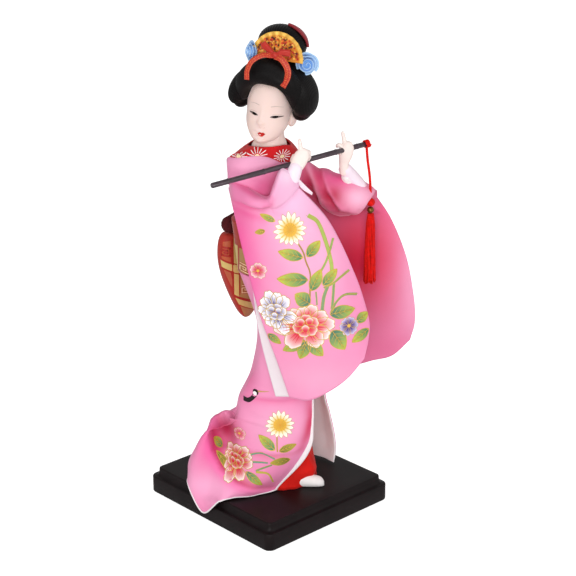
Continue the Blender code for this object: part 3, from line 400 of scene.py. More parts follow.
# Skin: cast resin under matt paint.
skin, tree, shader = finish("skin_painted_resin", 0.55, specular=0.25)
plain(tree, shader, "#e9cfc7", 0.015, 0.01)
shader.inputs["Subsurface Weight"].default_value = 0.12
shader.inputs["Subsurface Radius"].default_value = (0.004, 0.002, 0.001)
shader.inputs["Subsurface Scale"].default_value = 0.5

# The hands get a paler copy of the same paint: painted light, which lightens them against the shade and pink
# light thrown on them by the sleeves.
hand_skin_painted_light, tree, shader = finish("hand_resin_painted_light", 0.55, specular=0.25)
plain(tree, shader, "#f4e3dc", 0.015, 0.01)

# Paint of the eyes, brows and lips.
paint, tree, shader = finish("face_paint", 0.6, specular=0.15)
tinted(tree, shader, 0.02, 0.002)

# Hair: fine fibre, combed and set.
hair_fibre, tree, shader = finish("hair_combed_fibre", 0.34, specular=0.12)
plain(tree, shader, "#0b0808", 0.5, 0.001)

# Gold card of the fan.
gold_card, tree, shader = finish("gold_card", 0.42, metallic=0.3, specular=0.5)
tinted(tree, shader, 0.12, 0.002)

# Ribbons: satin, blue and orange red.
ribbon, tree, shader = finish("ribbon_satin", 0.45, specular=0.4, sheen=0.2)
tinted(tree, shader, 0.06, 0.003)

# Dark bamboo: stained and waxed.
bamboo, tree, shader = finish("bamboo_stained", 0.3, specular=0.5, coat=0.3)
plain(tree, shader, "#392a33", 0.3, 0.004)

# Silk thread of the tassel.
thread, tree, shader = finish("silk_thread", 0.6, specular=0.1, sheen=0.05)
plain(tree, shader, "#d8150f", 0.15, 0.002)

# Brass bead, darkened.
brass, tree, shader = finish("brass_darkened", 0.4, metallic=0.9)
plain(tree, shader, "#7a5c2c", 0.3, 0.001)

# Base: wood with black lacquer.
lacquer, tree, shader = finish("black_lacquer", 0.45, specular=0.15, coat=0.0)
plain(tree, shader, "#150d0e", 0.25, 0.01)

# Cotton of the feet and the hidden padding, and the steel of the wires.
cotton, tree, shader = finish("cotton_woven", 0.85, specular=0.2, sheen=0.2)
plain(tree, shader, "#f1ecea", 0.03, 0.004)
weave_bump(tree, shader, 0.35, 0.05)
steel, tree, shader = finish("steel_wire_drawn", 0.35, metallic=1.0)
plain(tree, shader, "#8c8c8c", 0.05, 0.003)

# %% [markdown]
# The camera looks from her right front, a little above. It is set first, because the pieces of
# cloth are judged from there. The light is soft and nearly white, as in a small photo tent.

# %% Camera, floor and light
camera_data = bpy.data.cameras.new("camera")
camera_data.lens = 97.3
camera_data.sensor_width = 36.0
camera_data.clip_start = 0.01
camera = bpy.data.objects.new("camera", camera_data)
camera.location = (-0.603137, -0.659739, 0.459668)
camera.rotation_mode = "QUATERNION"
camera.rotation_quaternion = Vector((0.64487, 0.68610, -0.33675)).to_track_quat("-Z", "Y")
bpy.context.scene.collection.objects.link(camera)
bpy.context.scene.camera = camera

floor_finish, tree, shader = finish("floor_paper", 0.9, specular=0.0)
plain(tree, shader, "#f4f4f4", 0.002, 0.5)
eye = node(tree, "LightPath").outputs["Is Camera Ray"]
glow = node(tree, "MapRange", {"Value": eye, "To Min": 0.0, "To Max": 0.7})
shader.inputs["Emission Color"].default_value = (1, 1, 1, 1)
tree.links.new(glow.outputs["Result"], shader.inputs["Emission Strength"])
floor_mesh = bpy.data.meshes.new("floor")
floor_mesh.from_pydata(
    [(-4, -4, -0.0002), (4, -4, -0.0002), (4, 4, -0.0002), (-4, 4, -0.0002)], [], [(0, 1, 2, 3)]
)
floor_mesh.materials.append(floor_finish)
floor = bpy.data.objects.new("floor", floor_mesh)
bpy.context.scene.collection.objects.link(floor)

world = bpy.data.worlds.new("studio")
bpy.context.scene.world = world
world.use_nodes = True
tree = world.node_tree
background = tree.nodes["Background"]
background.inputs["Color"].default_value = (1, 1, 1, 1)
seen = node(tree, "LightPath").outputs["Is Camera Ray"]
strength = node(tree, "MapRange", {"Value": seen, "To Min": 0.53, "To Max": 1.0})
tree.links.new(strength.outputs["Result"], background.inputs["Strength"])


def area_light(name, place, aim, size, power):
    data = bpy.data.lights.new(name, "AREA")
    data.shape = "RECTANGLE"
    data.size, data.size_y = size
    data.energy = power
    lamp = bpy.data.objects.new(name, data)
    lamp.location = place
    lamp.rotation_mode = "QUATERNION"
    lamp.rotation_quaternion = (Vector(aim) - Vector(place)).to_track_quat("-Z", "Y")
    bpy.context.scene.collection.objects.link(lamp)
    return lamp


area_light("key", (-1.3, -0.5, 1.1), (0, 0, 0.15), (0.9, 0.9), 6.4)
area_light("fill", (0.6, -1.3, 0.7), (0, 0, 0.15), (1.0, 1.0), 3.2)
area_light("low front", (-0.8, -0.95, 0.35), (0, 0, 0.08), (0.8, 0.3), 6.0)
bpy.context.scene.view_settings.view_transform = "Standard"

# %% [markdown]
# The base is a wooden board with black lacquer. Its top edge is cut to a small step and a hollow
# curve, and its corners are rounded. It is drawn as one profile carried round the rectangle.

# %% Base
BASE_HALF = (51.5, 56.5)
BASE_SIDE = 11.2
BASE_TOP = 16.5


def rounded_rectangle(half_x, half_y, corner, z, steps=12):
    ring = []
    for turn, (sx, sy) in enumerate(((1, 1), (-1, 1), (-1, -1), (1, -1))):
        for k in range(steps + 1):
            a = math.pi / 2 * (turn + k / steps)
            x = sx * (half_x - corner) + corner * math.cos(a)
            y = sy * (half_y - corner) + corner * math.sin(a)
            ring.append((x, y, z))
    return ring


base_profile = [(1.2, 0.0), (0.8, 0.0), (0.35, 0.25), (0.0, 0.8), (0.0, BASE_SIDE - 0.9)]
base_profile += [
    (0.15, BASE_SIDE - 0.35), (0.5, BASE_SIDE - 0.05), (0.8, BASE_SIDE), (1.8, BASE_SIDE + 0.1)
]
for k in range(9):
    a = math.pi / 2 * k / 8
    base_profile.append((2.0 + 1.6 * math.sin(a), BASE_SIDE + 0.2 + 4.2 * (1 - math.cos(a))))
base_profile += [
    (3.65, BASE_TOP - 0.6), (3.8, BASE_TOP - 0.25), (4.1, BASE_TOP - 0.05), (4.5, BASE_TOP),
    (8, BASE_TOP)
]
base = lofted(
    "base_lacquered",
    [
        rounded_rectangle(BASE_HALF[0] - i, BASE_HALF[1] - i, 4.8 - min(i, 4.0) * 0.5, z)
        for i, z in base_profile
    ],
    lacquer,
    None,
    ["base_plate"],
)
print("base", base.dimensions[:])

# %% [markdown]
# The flute is a straight bamboo tube. Bindings stand out a little near its ends. The tassel hangs from its
# far end on a twisted cord, so it must follow the same line. Bindings stand out a little near its ends and
# its holes
# are dark. The tassel hangs from its far end on a twisted cord, so it must follow the same line.

# %% Flute and tassel
FLUTE_LEFT = posed((-31.5, 48.0, 218.5))
FLUTE_RIGHT = posed((61.0, -12.0, 227.5))
FLUTE_R = 1.6
flute_way = FLUTE_RIGHT - FLUTE_LEFT
unit = flute_way / np.linalg.norm(flute_way)
steps, sizes = [0.0, 0.0, 0.004], [0.3, 0.75, 1.0]
for ring_at in (0.1, 0.32, 0.5, 0.78, 0.92):
    steps += [ring_at - 0.006, ring_at - 0.005, ring_at - 0.002, ring_at, ring_at + 0.002, ring_at + 0.005]
    sizes += [1.0, 1.05, 1.09, 1.1, 1.09, 1.0]
steps += [0.996, 1.0, 1.0]
sizes += [1.0, 0.75, 0.3]
flute = lofted(
    "flute_bamboo",
    rings_along(
        [FLUTE_LEFT + flute_way * (t + 1e-5 * k) for k, t in enumerate(steps)],
        [FLUTE_R * s for s in sizes], 32
    ),
    bamboo,
    None,
    ["flute"],
)

CORD_R, CORD_DROP, KNOT_R, BEAD_R, SKIRT_LENGTH, SEAT = 0.8, 31.4, 2.5, 2.1, 44.5, 0.2
WRAP_POINTS, WRAP_TURNS, WRAP_WIDE, WRAP_R, WRAP_THREAD_R = 140, 4, 3.0, FLUTE_R + 0.5, 0.45
hang = FLUTE_LEFT + flute_way * 0.985
out = np.cross(unit, (0, 0, 1))
out /= np.linalg.norm(out)
high = np.cross(out, unit)
wrap_path = []
for k in range(WRAP_POINTS):
    a = 2 * math.pi * WRAP_TURNS * k / (WRAP_POINTS - 1)
    along = unit * (k / (WRAP_POINTS - 1) - 0.5) * WRAP_WIDE
    wrap_path.append(hang + along + (out * math.cos(a) + high * math.sin(a)) * WRAP_R)
wrap_rings = rings_along(wrap_path, [WRAP_THREAD_R] * WRAP_POINTS, 8, unit)
binding = lofted("tassel_wrap", wrap_rings, thread, None, ["tassel_binding"])

cord_top = hang + np.array([0, 0, -FLUTE_R - 0.75])
sway = posed((3.0, 0, 0))
drop = np.array([0, 0, CORD_DROP])
cord_line = through(
    [
        cord_top, cord_top + sway * 0.25 - drop * 0.25, cord_top + sway * 0.75 - drop * 0.6,
        cord_top + sway - drop
    ],
    24
)
cord_data = bpy.data.curves.new("tassel_cord_twisted", "CURVE")
cord_data.dimensions = "3D"
cord_data.bevel_depth = CORD_R * MM
cord_data.bevel_resolution = 4
cord_data.use_fill_caps = True
spline = cord_data.splines.new("POLY")
spline.points.add(len(cord_line) - 1)
for point, place in zip(spline.points, cord_line):
    point.co = (*(place * MM), 1.0)
cord_data.materials.append(thread)
tassel_cord = bpy.data.objects.new("tassel_cord_twisted", cord_data)
bpy.context.scene.collection.objects.link(tassel_cord)
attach(tassel_cord, "root")
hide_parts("tassel_cord")

knot_middle = cord_line[-1] - np.array([0, 0, KNOT_R + SEAT])
knot_rings = ball_rings(knot_middle, (KNOT_R * 1.15, KNOT_R, KNOT_R), None, 30, 60)
a = np.linspace(0, 2 * math.pi, 60, endpoint=False)[None, :, None]
level = np.linspace(0, math.pi, 30)[:, None, None]
knot_rings = knot_middle + (knot_rings - knot_middle) * (0.93 + 0.07 * np.sin(6 * a + 4 * level))
tassel_knot = lofted("tassel_knot_tied", knot_rings, thread, None, ["tassel_knot"])
bead_middle = knot_middle - np.array([0, 0, KNOT_R + BEAD_R + SEAT])
bead_rings = ball_rings(bead_middle, (BEAD_R,) * 3, None, 24, 40)
tassel_bead = lofted("tassel_bead_brass", bead_rings, brass, None, ["tassel_bead"])

skirt_top = bead_middle - np.array([0, 0, BEAD_R + SEAT])
STRANDS, STRAND_RINGS, STRAND_SIDES, NEXT_STRAND = 54, 14, 6, 2.4
strand_points, strand_faces = [], []
for k in range(STRANDS):
    turn = NEXT_STRAND * k
    share = math.sqrt((k + 0.5) / STRANDS)
    path = []
    for t in np.linspace(0, 1, STRAND_RINGS):
        spread = (1.6 + 0.9 * min(1, t * 6) + 1.2 * t**1.6) * share
        wave = 0.18 * math.sin(7 * t + k)
        place = (
            math.cos(turn + wave) * spread, math.sin(turn + wave) * spread,
            -SKIRT_LENGTH * t * (0.985 + 0.015 * math.sin(3 * k))
        )
        path.append(skirt_top + np.array(place))
    strand_sizes = [0.42 + 0.1 * (i > 0) for i in range(STRAND_RINGS)]
    rings = rings_along(path, strand_sizes, STRAND_SIDES, (0, 1, 0))
    strand_points.append(rings.reshape(-1, 3))
    first_point = k * STRAND_RINGS * STRAND_SIDES
    for r in range(STRAND_RINGS - 1):
        low = first_point + r * STRAND_SIDES
        for i in range(STRAND_SIDES):
            j = (i + 1) % STRAND_SIDES
            strand_faces.append((low + i, low + j, low + STRAND_SIDES + j, low + STRAND_SIDES + i))
    last_ring = first_point + (STRAND_RINGS - 1) * STRAND_SIDES
    strand_faces.append(tuple(first_point + i for i in range(STRAND_SIDES - 1, -1, -1)))
    strand_faces.append(tuple(last_ring + i for i in range(STRAND_SIDES)))
tassel_skirt = add_mesh(
    "tassel_threads", np.concatenate(strand_points), strand_faces, thread, False, ["tassel_skirt"]
)

# %% [markdown]
# Folds are pressed into a cloth along lines: each one has its two ends, a width and a height.
# A tint spot paints light and shade onto the cloth round one place: its dark spots are painted shade, and
# its light ones are painted highlights. Both are given in the across and up of the viewer, so a fold is
# where the eye finds it.

# %% Folds, painted shade and painted highlights of the cloth
def beside(flat, path):
    """Each place's distance from a line, the same with left as plus, and its share of the way."""
    path = np.asarray(path, float)
    best = np.full(flat.shape[:-1], 1e9)
    signed, along = np.zeros_like(best), np.zeros_like(best)
    for k in range(len(path) - 1):
        way = path[k + 1] - path[k]
        t = np.clip(((flat - path[k]) @ way) / (way @ way), 0, 1)
        off = flat - path[k] - t[..., None] * way
        away = np.linalg.norm(off, axis=-1)
        near = away < best
        cross = (way[0] * off[..., 1] - way[1] * off[..., 0]) / np.linalg.norm(way)
        best[near], signed[near], along[near] = away[near], cross[near], ((k + t) / (len(path) - 1))[near]
    return best, signed, along


def pull(flat, path, width, side, sharp=0.45):
    """Share of a fold at each place. Side 0 is both sides of the line, 1 its left, -1 its right."""
    away, signed, along = beside(flat, path)
    share = np.exp(-((away / width) ** 2)) * (0.3 + 0.7 * np.sin(math.pi * np.clip(along, 0.1, 0.9)))
    if side:
        share = share / (1 + np.exp(np.clip(-side * signed / sharp, -40, 40)))
    return share


def seen_flat(grid):
    return np.stack([grid @ ACROSS, grid[..., 2]], axis=-1)


def folded(grid, folds, near=None):
    """Moves the nearer part of the grid along its normals at each fold: its line, width, height and side."""
    normals = grid_normals(grid)
    normals = normals * np.where(normals @ TOWARD > 0, 1.0, -1.0)[..., None]
    flat = seen_flat(grid)
    lift = sum(height * pull(flat, path, width, side) for path, width, height, side in folds)
    near = np.percentile(grid @ TOWARD, 30) if near is None else near
    front = np.clip((grid @ TOWARD - near) / 4, 0, 1)
    return grid + normals * (lift * front)[..., None]


def rippled(grid, amount, length, seed):
    """Slight unevenness of loose cloth."""
    rng = np.random.default_rng(seed)
    normals = grid_normals(grid)
    lift = np.zeros(grid.shape[:2])
    for _ in range(7):
        way = rng.normal(size=3)
        way[2] *= 0.35
        way /= np.linalg.norm(way)
        lift += np.sin(grid @ way * 2 * math.pi / (length * rng.uniform(0.6, 1.7)) + rng.uniform(0, 7)) / 7
    return grid + normals * (lift * amount)[:, :, None]


def shade_and_highlight_spots(grid, base, spots, near=-99.0):
    """Tint at each point, with painted shade and painted highlights laid on in spots. A spot is across, up,
    half width, half height, colour and strength.
    """
    out = one_colour(base, *grid.shape[:-1])
    x, z = grid @ ACROSS, grid[..., 2]
    nearer = np.clip((grid @ TOWARD - near) / 6, 0, 1)
    for cx, cz, wide, tall, code, strength in spots:
        share = strength * nearer * np.exp(-(((x - cx) / wide) ** 2) - ((z - cz) / tall) ** 2)
        out = out * (1 - share[..., None]) + colour(code) * share[..., None]
    return out


def shade_and_highlight_streaks(grid, tint, shading_streaks, near=-99.0):
    """Painted shade and painted highlights drawn along lines, on the nearer part: line, width, colour,
    strength and side.
    """
    flat = seen_flat(grid)
    nearer = np.clip((grid @ TOWARD - near) / 6, 0, 1)
    for path, width, code, strength, side in shading_streaks:
        share = (strength * nearer * pull(flat, path, width, side))[..., None]
        tint = tint * (1 - share) + colour(code) * share
    return tint


# %% [markdown]
# The skirt of the kimono wraps round the legs from the front edge, round her back, to the far
# edge. At her right it spreads to a train that hangs over the edge of the base. It is one sheet
# through rows of points, from the waist down to the hem, with a lining behind its far front.

# %% Kimono skirt
SKIRT_ROWS = (
    (
        (15, 9, 152.5), (9, 14.5, 152.5), (1, 17.2, 152.5), (-7, 15.8, 152.5), (-13, 11.5, 152.5),
        (-16.6, 5, 152.5), (-17, -2, 152.5), (-13.5, -10, 152.5), (-6, -15.6, 152.5), (2, -17, 152.5),
        (10, -14, 152.5), (15.2, -8, 152.5), (17.2, 0, 152.5),
    ),
    (
        (25, 14, 120), (19, 19.5, 120), (11, 22, 120), (3, 21, 120), (-3.5, 16.5, 120), (-6, 9, 120),
        (-6.2, 1, 120), (-3, -6, 120), (3, -10.8, 120), (10.5, -12.4, 120), (18, -10.5, 120),
        (23.5, -5, 120), (26.4, 3, 120),
    ),
    (
        (27, 18, 92), (21, 23.5, 92), (12, 26.5, 92), (3, 26, 92), (-5, 22, 92), (-9, 14, 92),
        (-9.5, 6, 92), (-6, -3, 92), (1, -10, 92), (10, -14, 92), (20, -13.5, 92), (28, -8.5, 92),
        (31, -1, 92),
    ),
    (
        (27, 24, 73), (18.5, 29, 73), (8.5, 31, 73), (-2, 30, 73), (-11, 26, 74), (-16.5, 19, 75),
        (-17, 9, 75), (-12, -4, 74), (-2, -14, 73), (9, -19, 73), (21, -19, 73), (31, -14, 73),
        (34.5, -7, 73),
    ),
    (
        (27, 25, 67), (18.5, 30, 67), (8.5, 32, 67), (-2, 31, 67), (-11.5, 27, 68), (-18, 22, 68),
        (-19, 12, 68), (-14.5, 0, 68), (-4, -13.5, 67), (8, -20, 67), (21, -20.5, 67), (32, -15, 67),
        (35.8, -8, 67),
    ),
    (
        (26.8, 25.5, 63), (18.3, 30.5, 62.5), (8.3, 32.5, 62.5), (-2, 31.8, 63.5),
        (-12.3, 28, 64.5), (-20, 23, 64.6),
        (-21.5, 13, 64), (-16, -1, 63), (-5.5, -14.5, 61), (7, -20.5, 60.5), (20.7, -21.5, 60.5),
        (32.3, -16.5, 60.5),
        (37, -9, 60.5),
    ),
    (
        (26.5, 26, 59), (18, 31, 58), (8, 33, 58), (-2, 32, 59), (-12, 28, 61), (-20, 24.5, 63),
        (-31, 21, 60.4), (-29, 8, 58), (-13, -14, 54), (5, -21, 53), (20, -24, 53), (33, -19, 53),
        (39, -10, 53),
    ),
    (
        (24.5, 26, 48), (15, 32, 46), (4, 35, 44), (-8, 33, 44), (-19, 28, 47), (-28, 22, 54),
        (-39, 25, 54), (-38, 6, 44), (-18, -12, 39), (4, -22, 38), (20, -26, 38), (35, -20, 38),
        (42, -10, 38),
    ),
    (
        (16, 26.4, 33), (8, 31.5, 31), (-2, 35, 28), (-12, 36, 26), (-22, 34, 29), (-32, 28, 38),
        (-46, 28, 38), (-47, 12, 31), (-24, -8, 27), (2, -20, 26), (20, -25, 26), (35, -19, 26),
        (43, -10, 26),
    ),
    (
        (4, 28, 17.9), (-4, 32, 17.9), (-13, 36, 17.9), (-22, 39, 18.2), (-31, 42.5, 16.5),
        (-41, 36, 6.5), (-50, 25, 21), (-46, 8, 18.2), (-26, -6, 18), (0, -18, 18), (19, -24, 18),
        (34, -18.5, 18), (42, -10, 18),
    ),
)
PINK = "#ec8cb6"


def off_the_base(grid, room):
    """Lifts what would sink into the base: onto its top, or out past its side."""
    grid = grid.copy()
    out = -grid[:, :, 0] - BASE_HALF[0]
    low = (out < room) & (grid[:, :, 2] < BASE_TOP + room)
    up = low & (BASE_TOP + room - grid[:, :, 2] < room - out)
    grid[:, :, 2][up] = BASE_TOP + room
    grid[:, :, 0][low & ~up] = -BASE_HALF[0] - room
    return grid


skirt_rows = np.array([posed(row) for row in SKIRT_ROWS])
skirt_grid = patch(skirt_rows, 140, 180)
SCOOP = ((-33, 62), (-36, 54), (-35, 44), (-30, 34), (-21, 27), (-10, 22), (0, 19.5))
TUCK = ((-18, 77.5), (-6, 79.5), (8, 79.5), (26, 80))
skirt_grid = folded(
    skirt_grid,
    (
        (TUCK, 9.0, 1.8, 1),
        (((-16, 82), (-10, 84.5), (-4, 84), (2, 82)), 5.0, 1.0, 1),
        (SCOOP, 7.0, 2.4, -1),
        (((-26, 62), (-29, 53), (-25, 42)), 6.5, -8.0, 0),
        (((-12, 46), (0, 45), (16, 45)), 4.0, 1.0, 1),
        (((-6, 100), (6, 88)), 4.0, 0.6, 0),
        (((2, 118), (4, 92)), 4.0, 0.5, 0),
    ),
    14.0,
)
skirt_grid = off_the_base(rippled(skirt_grid, 0.3, 26, 3), 0.7)
# Painted light and shade on the skirt: the crimson and hot pink spots are painted shade in the hollow of the
# train and in a fold at its side, and the light pink spots are painted highlights, the largest on the flared
# hem.
skirt_tint = shade_and_highlight_spots(
    skirt_grid,
    PINK,
    (
        (6, 62, 20, 14, "#efaccb", 0.7),
        (-27, 54, 9, 10, "#b41a44", 1.0),
        (-36, 46, 7, 12, "#f0549c", 0.7),
        (-38, 22, 22, 9, "#f4aacd", 0.85),
        (2, 100, 14, 18, "#f0a3c6", 0.5),
        (-13, 92, 5, 12, "#e2508c", 0.6),
    ),
    8.0,
)
# Painted shade along the tuck, the scoop's crease, the crease across the train and the crease bar, and in
# hot pink on the band side of the scoop. The last streak darkens a strip down beside the front edge.
skirt_tint = shade_and_highlight_streaks(
    skirt_grid,
    skirt_tint,
    (
        (TUCK, 3.2, "#e45c92", 0.7, -1),
        (SCOOP, 5.0, "#c41c4c", 1.0, 1),
        (((-33, 44.3), (-17.5, 44.2), (-4, 45.5)), 1.3, "#c8406a", 0.7, -1),
        (SCOOP, 4.0, "#f25aa2", 0.7, -1),
        (((-12, 46), (0, 45), (16, 45)), 3.0, "#dd6a78", 0.6, -1),
        (((25, 78), (26, 66), (24, 56), (20, 46)), 3.2, "#cc2c56", 0.9, 0),
    ),
    8.0,
)
kimono_skirt = cloth("kimono_skirt_satin", skirt_grid, 0.7, satin, skirt_tint, ["kimono_skirt"])

lining_grid = patch([row[8:] for row in skirt_rows], 110, 60)
lining_middle = posed([(14, 4, z) for z in lining_grid[:, 30, 2]])
inward = lining_middle[:, None] - lining_grid
inward[:, :, 2] = 0
inward /= np.linalg.norm(inward, axis=2, keepdims=True)
lining_grid = lining_grid + inward * 1.1
lining_grid[:, -3:] += (
    lining_grid[:, -1:] - lining_grid[:, -2:-1]
) * np.array((0.5, 1.0, 1.6))[None, :, None]
skirt_lining = cloth(
    "skirt_lining_white", lining_grid, 0.5, lining, one_colour("#fffafb", 110, 60), ["skirt_lining"]
)

edge_line = skirt_grid[:, 0]
edge_wide = [(0.8 + 2.3 * math.exp(-(((z - 41) / 13) ** 2)), 0.5) for z in edge_line[:, 2]]
edges = (
    ("skirt_edge_white", edge_line, edge_wide),
    ("skirt_hem_white", skirt_grid[-1, :128], [(0.5, 0.5)] * 128)
)
for name, line, sizes in edges:
    rings = rings_along(
        line + TOWARD * 0.15, sizes, 10, TOWARD if name == "skirt_edge_white" else (0, 0, 1)
    )
    piping = lofted(name, rings, lining, one_colour("#efe6e9", len(line), 10))

# %% [markdown]
# The red under-kimono shows between the skirt's open front and the white foot.

# %% Under-kimono and feet
UNDER_HEM = (
    (4, 26.8), (12, 27.6), (20.5, 23.4), (26.2, 18.4), (29.8, 10), (30, -4), (26, -13), (14, -16),
    (0, -11), (-8, 0), (-10, 12), (-4.5, 21),
)
UNDER_Z = (60, 73, 92, 120, 153)
UNDER_ACROSS = (9.0, 10.0, 10.8, 10.2, 0.4)
UNDER_TOWARD = (6.0, 7.5, 6.5, 5.0, 0.6)
UNDER_R = (15.0, 14.0, 13.4, 13.0, 14.6)


def under_ring(z, count=144):
    a = np.linspace(0, 2 * math.pi, count, endpoint=False)
    pleat = np.sin(9 * a) + 0.6 * np.sin(17 * a + 1)
    if z < UNDER_Z[0]:
        hem = np.array(UNDER_HEM, float)
        t = (z - BASE_TOP) / (UNDER_Z[0] - BASE_TOP)
        placed = through(
            hem.mean(axis=0) + (hem - hem.mean(axis=0)) * (1 - 0.28 * t**0.7), count, closed=True
        )
        middle = placed.mean(axis=0)
        placed = middle + (placed - middle) * (1 + (0.018 - 0.012 * t) * pleat)[:, None]
        out = placed - middle
        over_foot = np.exp(
            -(((np.arctan2(out[:, 1], out[:, 0]) - 0.65) / 0.55) ** 2) - ((z - 26.5) / 5.5) ** 2
        )
        placed = placed + out * (4.6 * over_foot / np.linalg.norm(out, axis=1))[:, None]
        return posed(np.c_[placed, np.full(count, z)])
    across, toward, wide = (np.interp(z, UNDER_Z, row) for row in (UNDER_ACROSS, UNDER_TOWARD, UNDER_R))
    turn = math.radians(-128) + a
    return posed((across, toward, z)) + wide * np.stack([np.cos(turn), np.sin(turn), 0 * a], axis=1)


under_outer = np.array([under_ring(z) for z in np.linspace(BASE_TOP + 0.2, 152, 70)])
under_middle = under_outer.mean(axis=1, keepdims=True)
under_inner = under_middle + (under_outer - under_middle) * 0.955
under_inner[..., 2] = under_outer[..., 2]
under_skirt = shell(
    "under_kimono_red", np.concatenate([under_outer, under_inner[::-1]]), red_cloth, None,
    ["under_skirt"]
)


def foot(name, heel, toe, replaces):
    """Tabi foot: a flat sole on the base, and an instep that rises to the ankle."""
    heel, toe = np.array(heel, float), np.array(toe, float)
    sole = BASE_TOP + 0.2
    shape = through(
        (
            (-0.1, 1.0, 2.5), (-0.08, 2.2, 5.0), (0.0, 3.4, 8.5), (0.2, 3.9, 9.8), (0.4, 3.9, 9.0),
            (0.6, 4.2, 7.3), (0.8, 4.4, 6.4), (0.93, 4.0, 5.4), (1.0, 3.0, 4.2), (1.04, 1.6, 2.6),
            (1.05, 0.5, 1.2),
        ),
        60,
    )
    ahead = (toe - heel) / np.linalg.norm(toe - heel)
    side = np.array([-ahead[1], ahead[0]])
    a = np.linspace(0, 2 * math.pi, 40, endpoint=False)
    rings = []
    for t, wide, tall in shape:
        flat = (heel + (toe - heel) * t)[None] + side[None] * (np.cos(a) * wide)[:, None]
        rings.append(np.c_[flat, np.maximum(sole, sole + tall * (0.42 + 0.58 * np.sin(a)))])
    made = lofted(name, rings, cotton, None, replaces)
    return made


foot("tabi_right", (-6.6, -20.6), (11.0, -37.6), ["foot_right"])

# %% [markdown]
# The bodice lies close over the padded trunk, and its collar of red patterned cloth stands out
# round the neck. One fault is left: the trunk still shows through at the far shoulder and in
# small spots round the neck, so the cloth has to be raised there.

# %% Bodice and collar
TRUNK = np.array(
    (
        (148.0, 15.5, 12.5), (153.0, 16.0, 13.0), (168.0, 18.0, 13.5), (187.0, 21.0, 14.0),
        (201.0, 24.5, 14.5), (213.0, 27.0, 14.7), (224.0, 28.0, 15.0)
    )
)
ROUND = 160


def trunk_ring(z, grow, count=ROUND):
    wide, deep = np.interp(z, TRUNK[:, 0], TRUNK[:, 1]), np.interp(z, TRUNK[:, 0], TRUNK[:, 2])
    return oval(wide + grow, deep + grow, z, count, square=2.3)


def dipped(ring, amount=1.0):
    """The neck opening: low in front of her, higher over her right breast."""
    ring = ring.copy()
    a = np.degrees(np.linspace(0, 2 * math.pi, len(ring), endpoint=False))
    ring[:, 2] += amount * (2.1 * np.exp(-(((a - 225) / 36) ** 2)) - 7 * np.exp(-(((a - 281) / 24) ** 2)))
    return ring


levels = np.linspace(153, 222.5, 60)
outer = np.array([trunk_ring(z, 0.0) for z in levels] + [dipped(trunk_ring(226.5, 0.0))])
CREASE = ((-20.5, 212.5), (-15.8, 211.6), (-11.8, 210.2), (-6.5, 207.2), (-1.5, 204.8))
outer = folded(outer, ((((-20, 222), (-10, 216), (0, 211)), 2.5, 0.7, 1), (CREASE, 4.0, 0.8, 1)))


def sloped(points):
    """Both shoulders drop away at the back."""
    across, toward = points @ ACROSS, points @ TOWARD
    drop = 0.12 * np.clip(across - 9, 0, 20) ** 1.75
    drop += 0.07 * np.clip(-across - 5, 0, 25) ** 1.45 * np.clip((16 - toward) / 8, 0, 1)
    drop *= np.clip((points[..., 2] - 200) / 24, 0, 1)
    return points - drop[..., None] * np.array((0, 0, 1.0))


outer = sloped(outer)
inner = outer * (0.955, 0.93, 1.0)
rings = np.concatenate([outer, inner[::-1]])
# Painted light and shade on the bodice: a painted highlight in light pink at the top, and painted shade in
# deep pink along the crease under the near sleeve and in crimson at the far shoulder.
bodice_tint = shade_and_highlight_spots(
    rings, PINK,
    ((-6, 226, 20, 8, "#f2b2d0", 0.7), (-2, 209, 8, 7, "#dd5c93", 0.6), (22, 212, 7, 12, "#cf2f60", 0.9)),
    -6.0
)
bodice_tint = shade_and_highlight_streaks(rings, bodice_tint, ((CREASE, 2.0, "#dd4a84", 0.85, -1),), 0.0)
bodice = shell("bodice_satin", rings, satin, bodice_tint, ["bodice"])

collar_control = [
    dipped(trunk_ring(225.4, -2.0)),
    dipped(trunk_ring(226.6, -1.3)),
    dipped(oval(25.6, 14.0, 228.4, ROUND, square=2.3), 0.8),
    dipped(oval(20.6, 12.6, 230.8, ROUND, (0, -1)), 0.35),
    oval(13.4, 11.2, 232.6, ROUND, (-0.6, -2.6)),
]
collar_grid = sloped(through(collar_control, 40))
collar_grid[..., 2] -= 0.3
collar_rings = np.concatenate([collar_grid, (collar_grid - (0, 0, 0.9))[::-1]])
collar = shell("collar_red_cloth", collar_rings, collar_red, None, ["collar"])

# %% [markdown]
# Obi: a stiff brocade sash. Its band goes round the waist, and the flat bow hangs behind it with
# a small dark puff of crepe on top.

# %% Obi
obi_levels = np.linspace(153.3, 186.7, 24)
obi_rings = np.concatenate(
    [
        np.array([trunk_ring(z, 2.6) for z in obi_levels]),
        np.array([trunk_ring(z, 0.4) for z in obi_levels[::-1]])
    ]
)
obi_band = shell(
    "obi_band_brocade", obi_rings, brocade,
    one_colour("#a0301f", obi_rings.shape[0] * obi_rings.shape[1]), ["obi_band"]
)

BOW_SHAPE = (
    (173.6, 9.0, 0.6), (172.9, 14.0, 2.0), (171.4, 18.6, 5.5), (166.0, 20.8, 7.0),
    (157.0, 21.2, 7.4), (148.0, 19.6, 7.0),
    (138.0, 16.0, 6.0), (128.0, 11.5, 4.8), (119.0, 6.5, 3.4), (114.5, 2.6, 1.6), (113.8, 0.8, 0.4),
)
bow_rings = [oval(w, d, z, 120, (4.0, 24.3), 2.8) for z, w, d in through(BOW_SHAPE, 70)]
obi_bow = lofted("obi_bow_brocade", bow_rings, brocade, one_colour("#a82a1e", 70, 120), ["obi_bow"])
obi_pad = limb(
    "obi_pad_crepe", ((-12.5, 20.5, 178.6), (3, 22.0, 179.6), (19.5, 20.5, 178.6)), (5.0, 5.8, 5.0),
    40, 90, crepe_dark, replaces=["obi_pad"], groove=0.05, grooves=14
)

# %% [markdown]
# Sleeves. A kimono sleeve is a long flat bag that hangs from the arm. Its cloth runs over the
# forearm and down in front, then turns at the bottom and goes up behind. Each column of the
# grid is one such run, and the columns go from the elbow to the wrist.

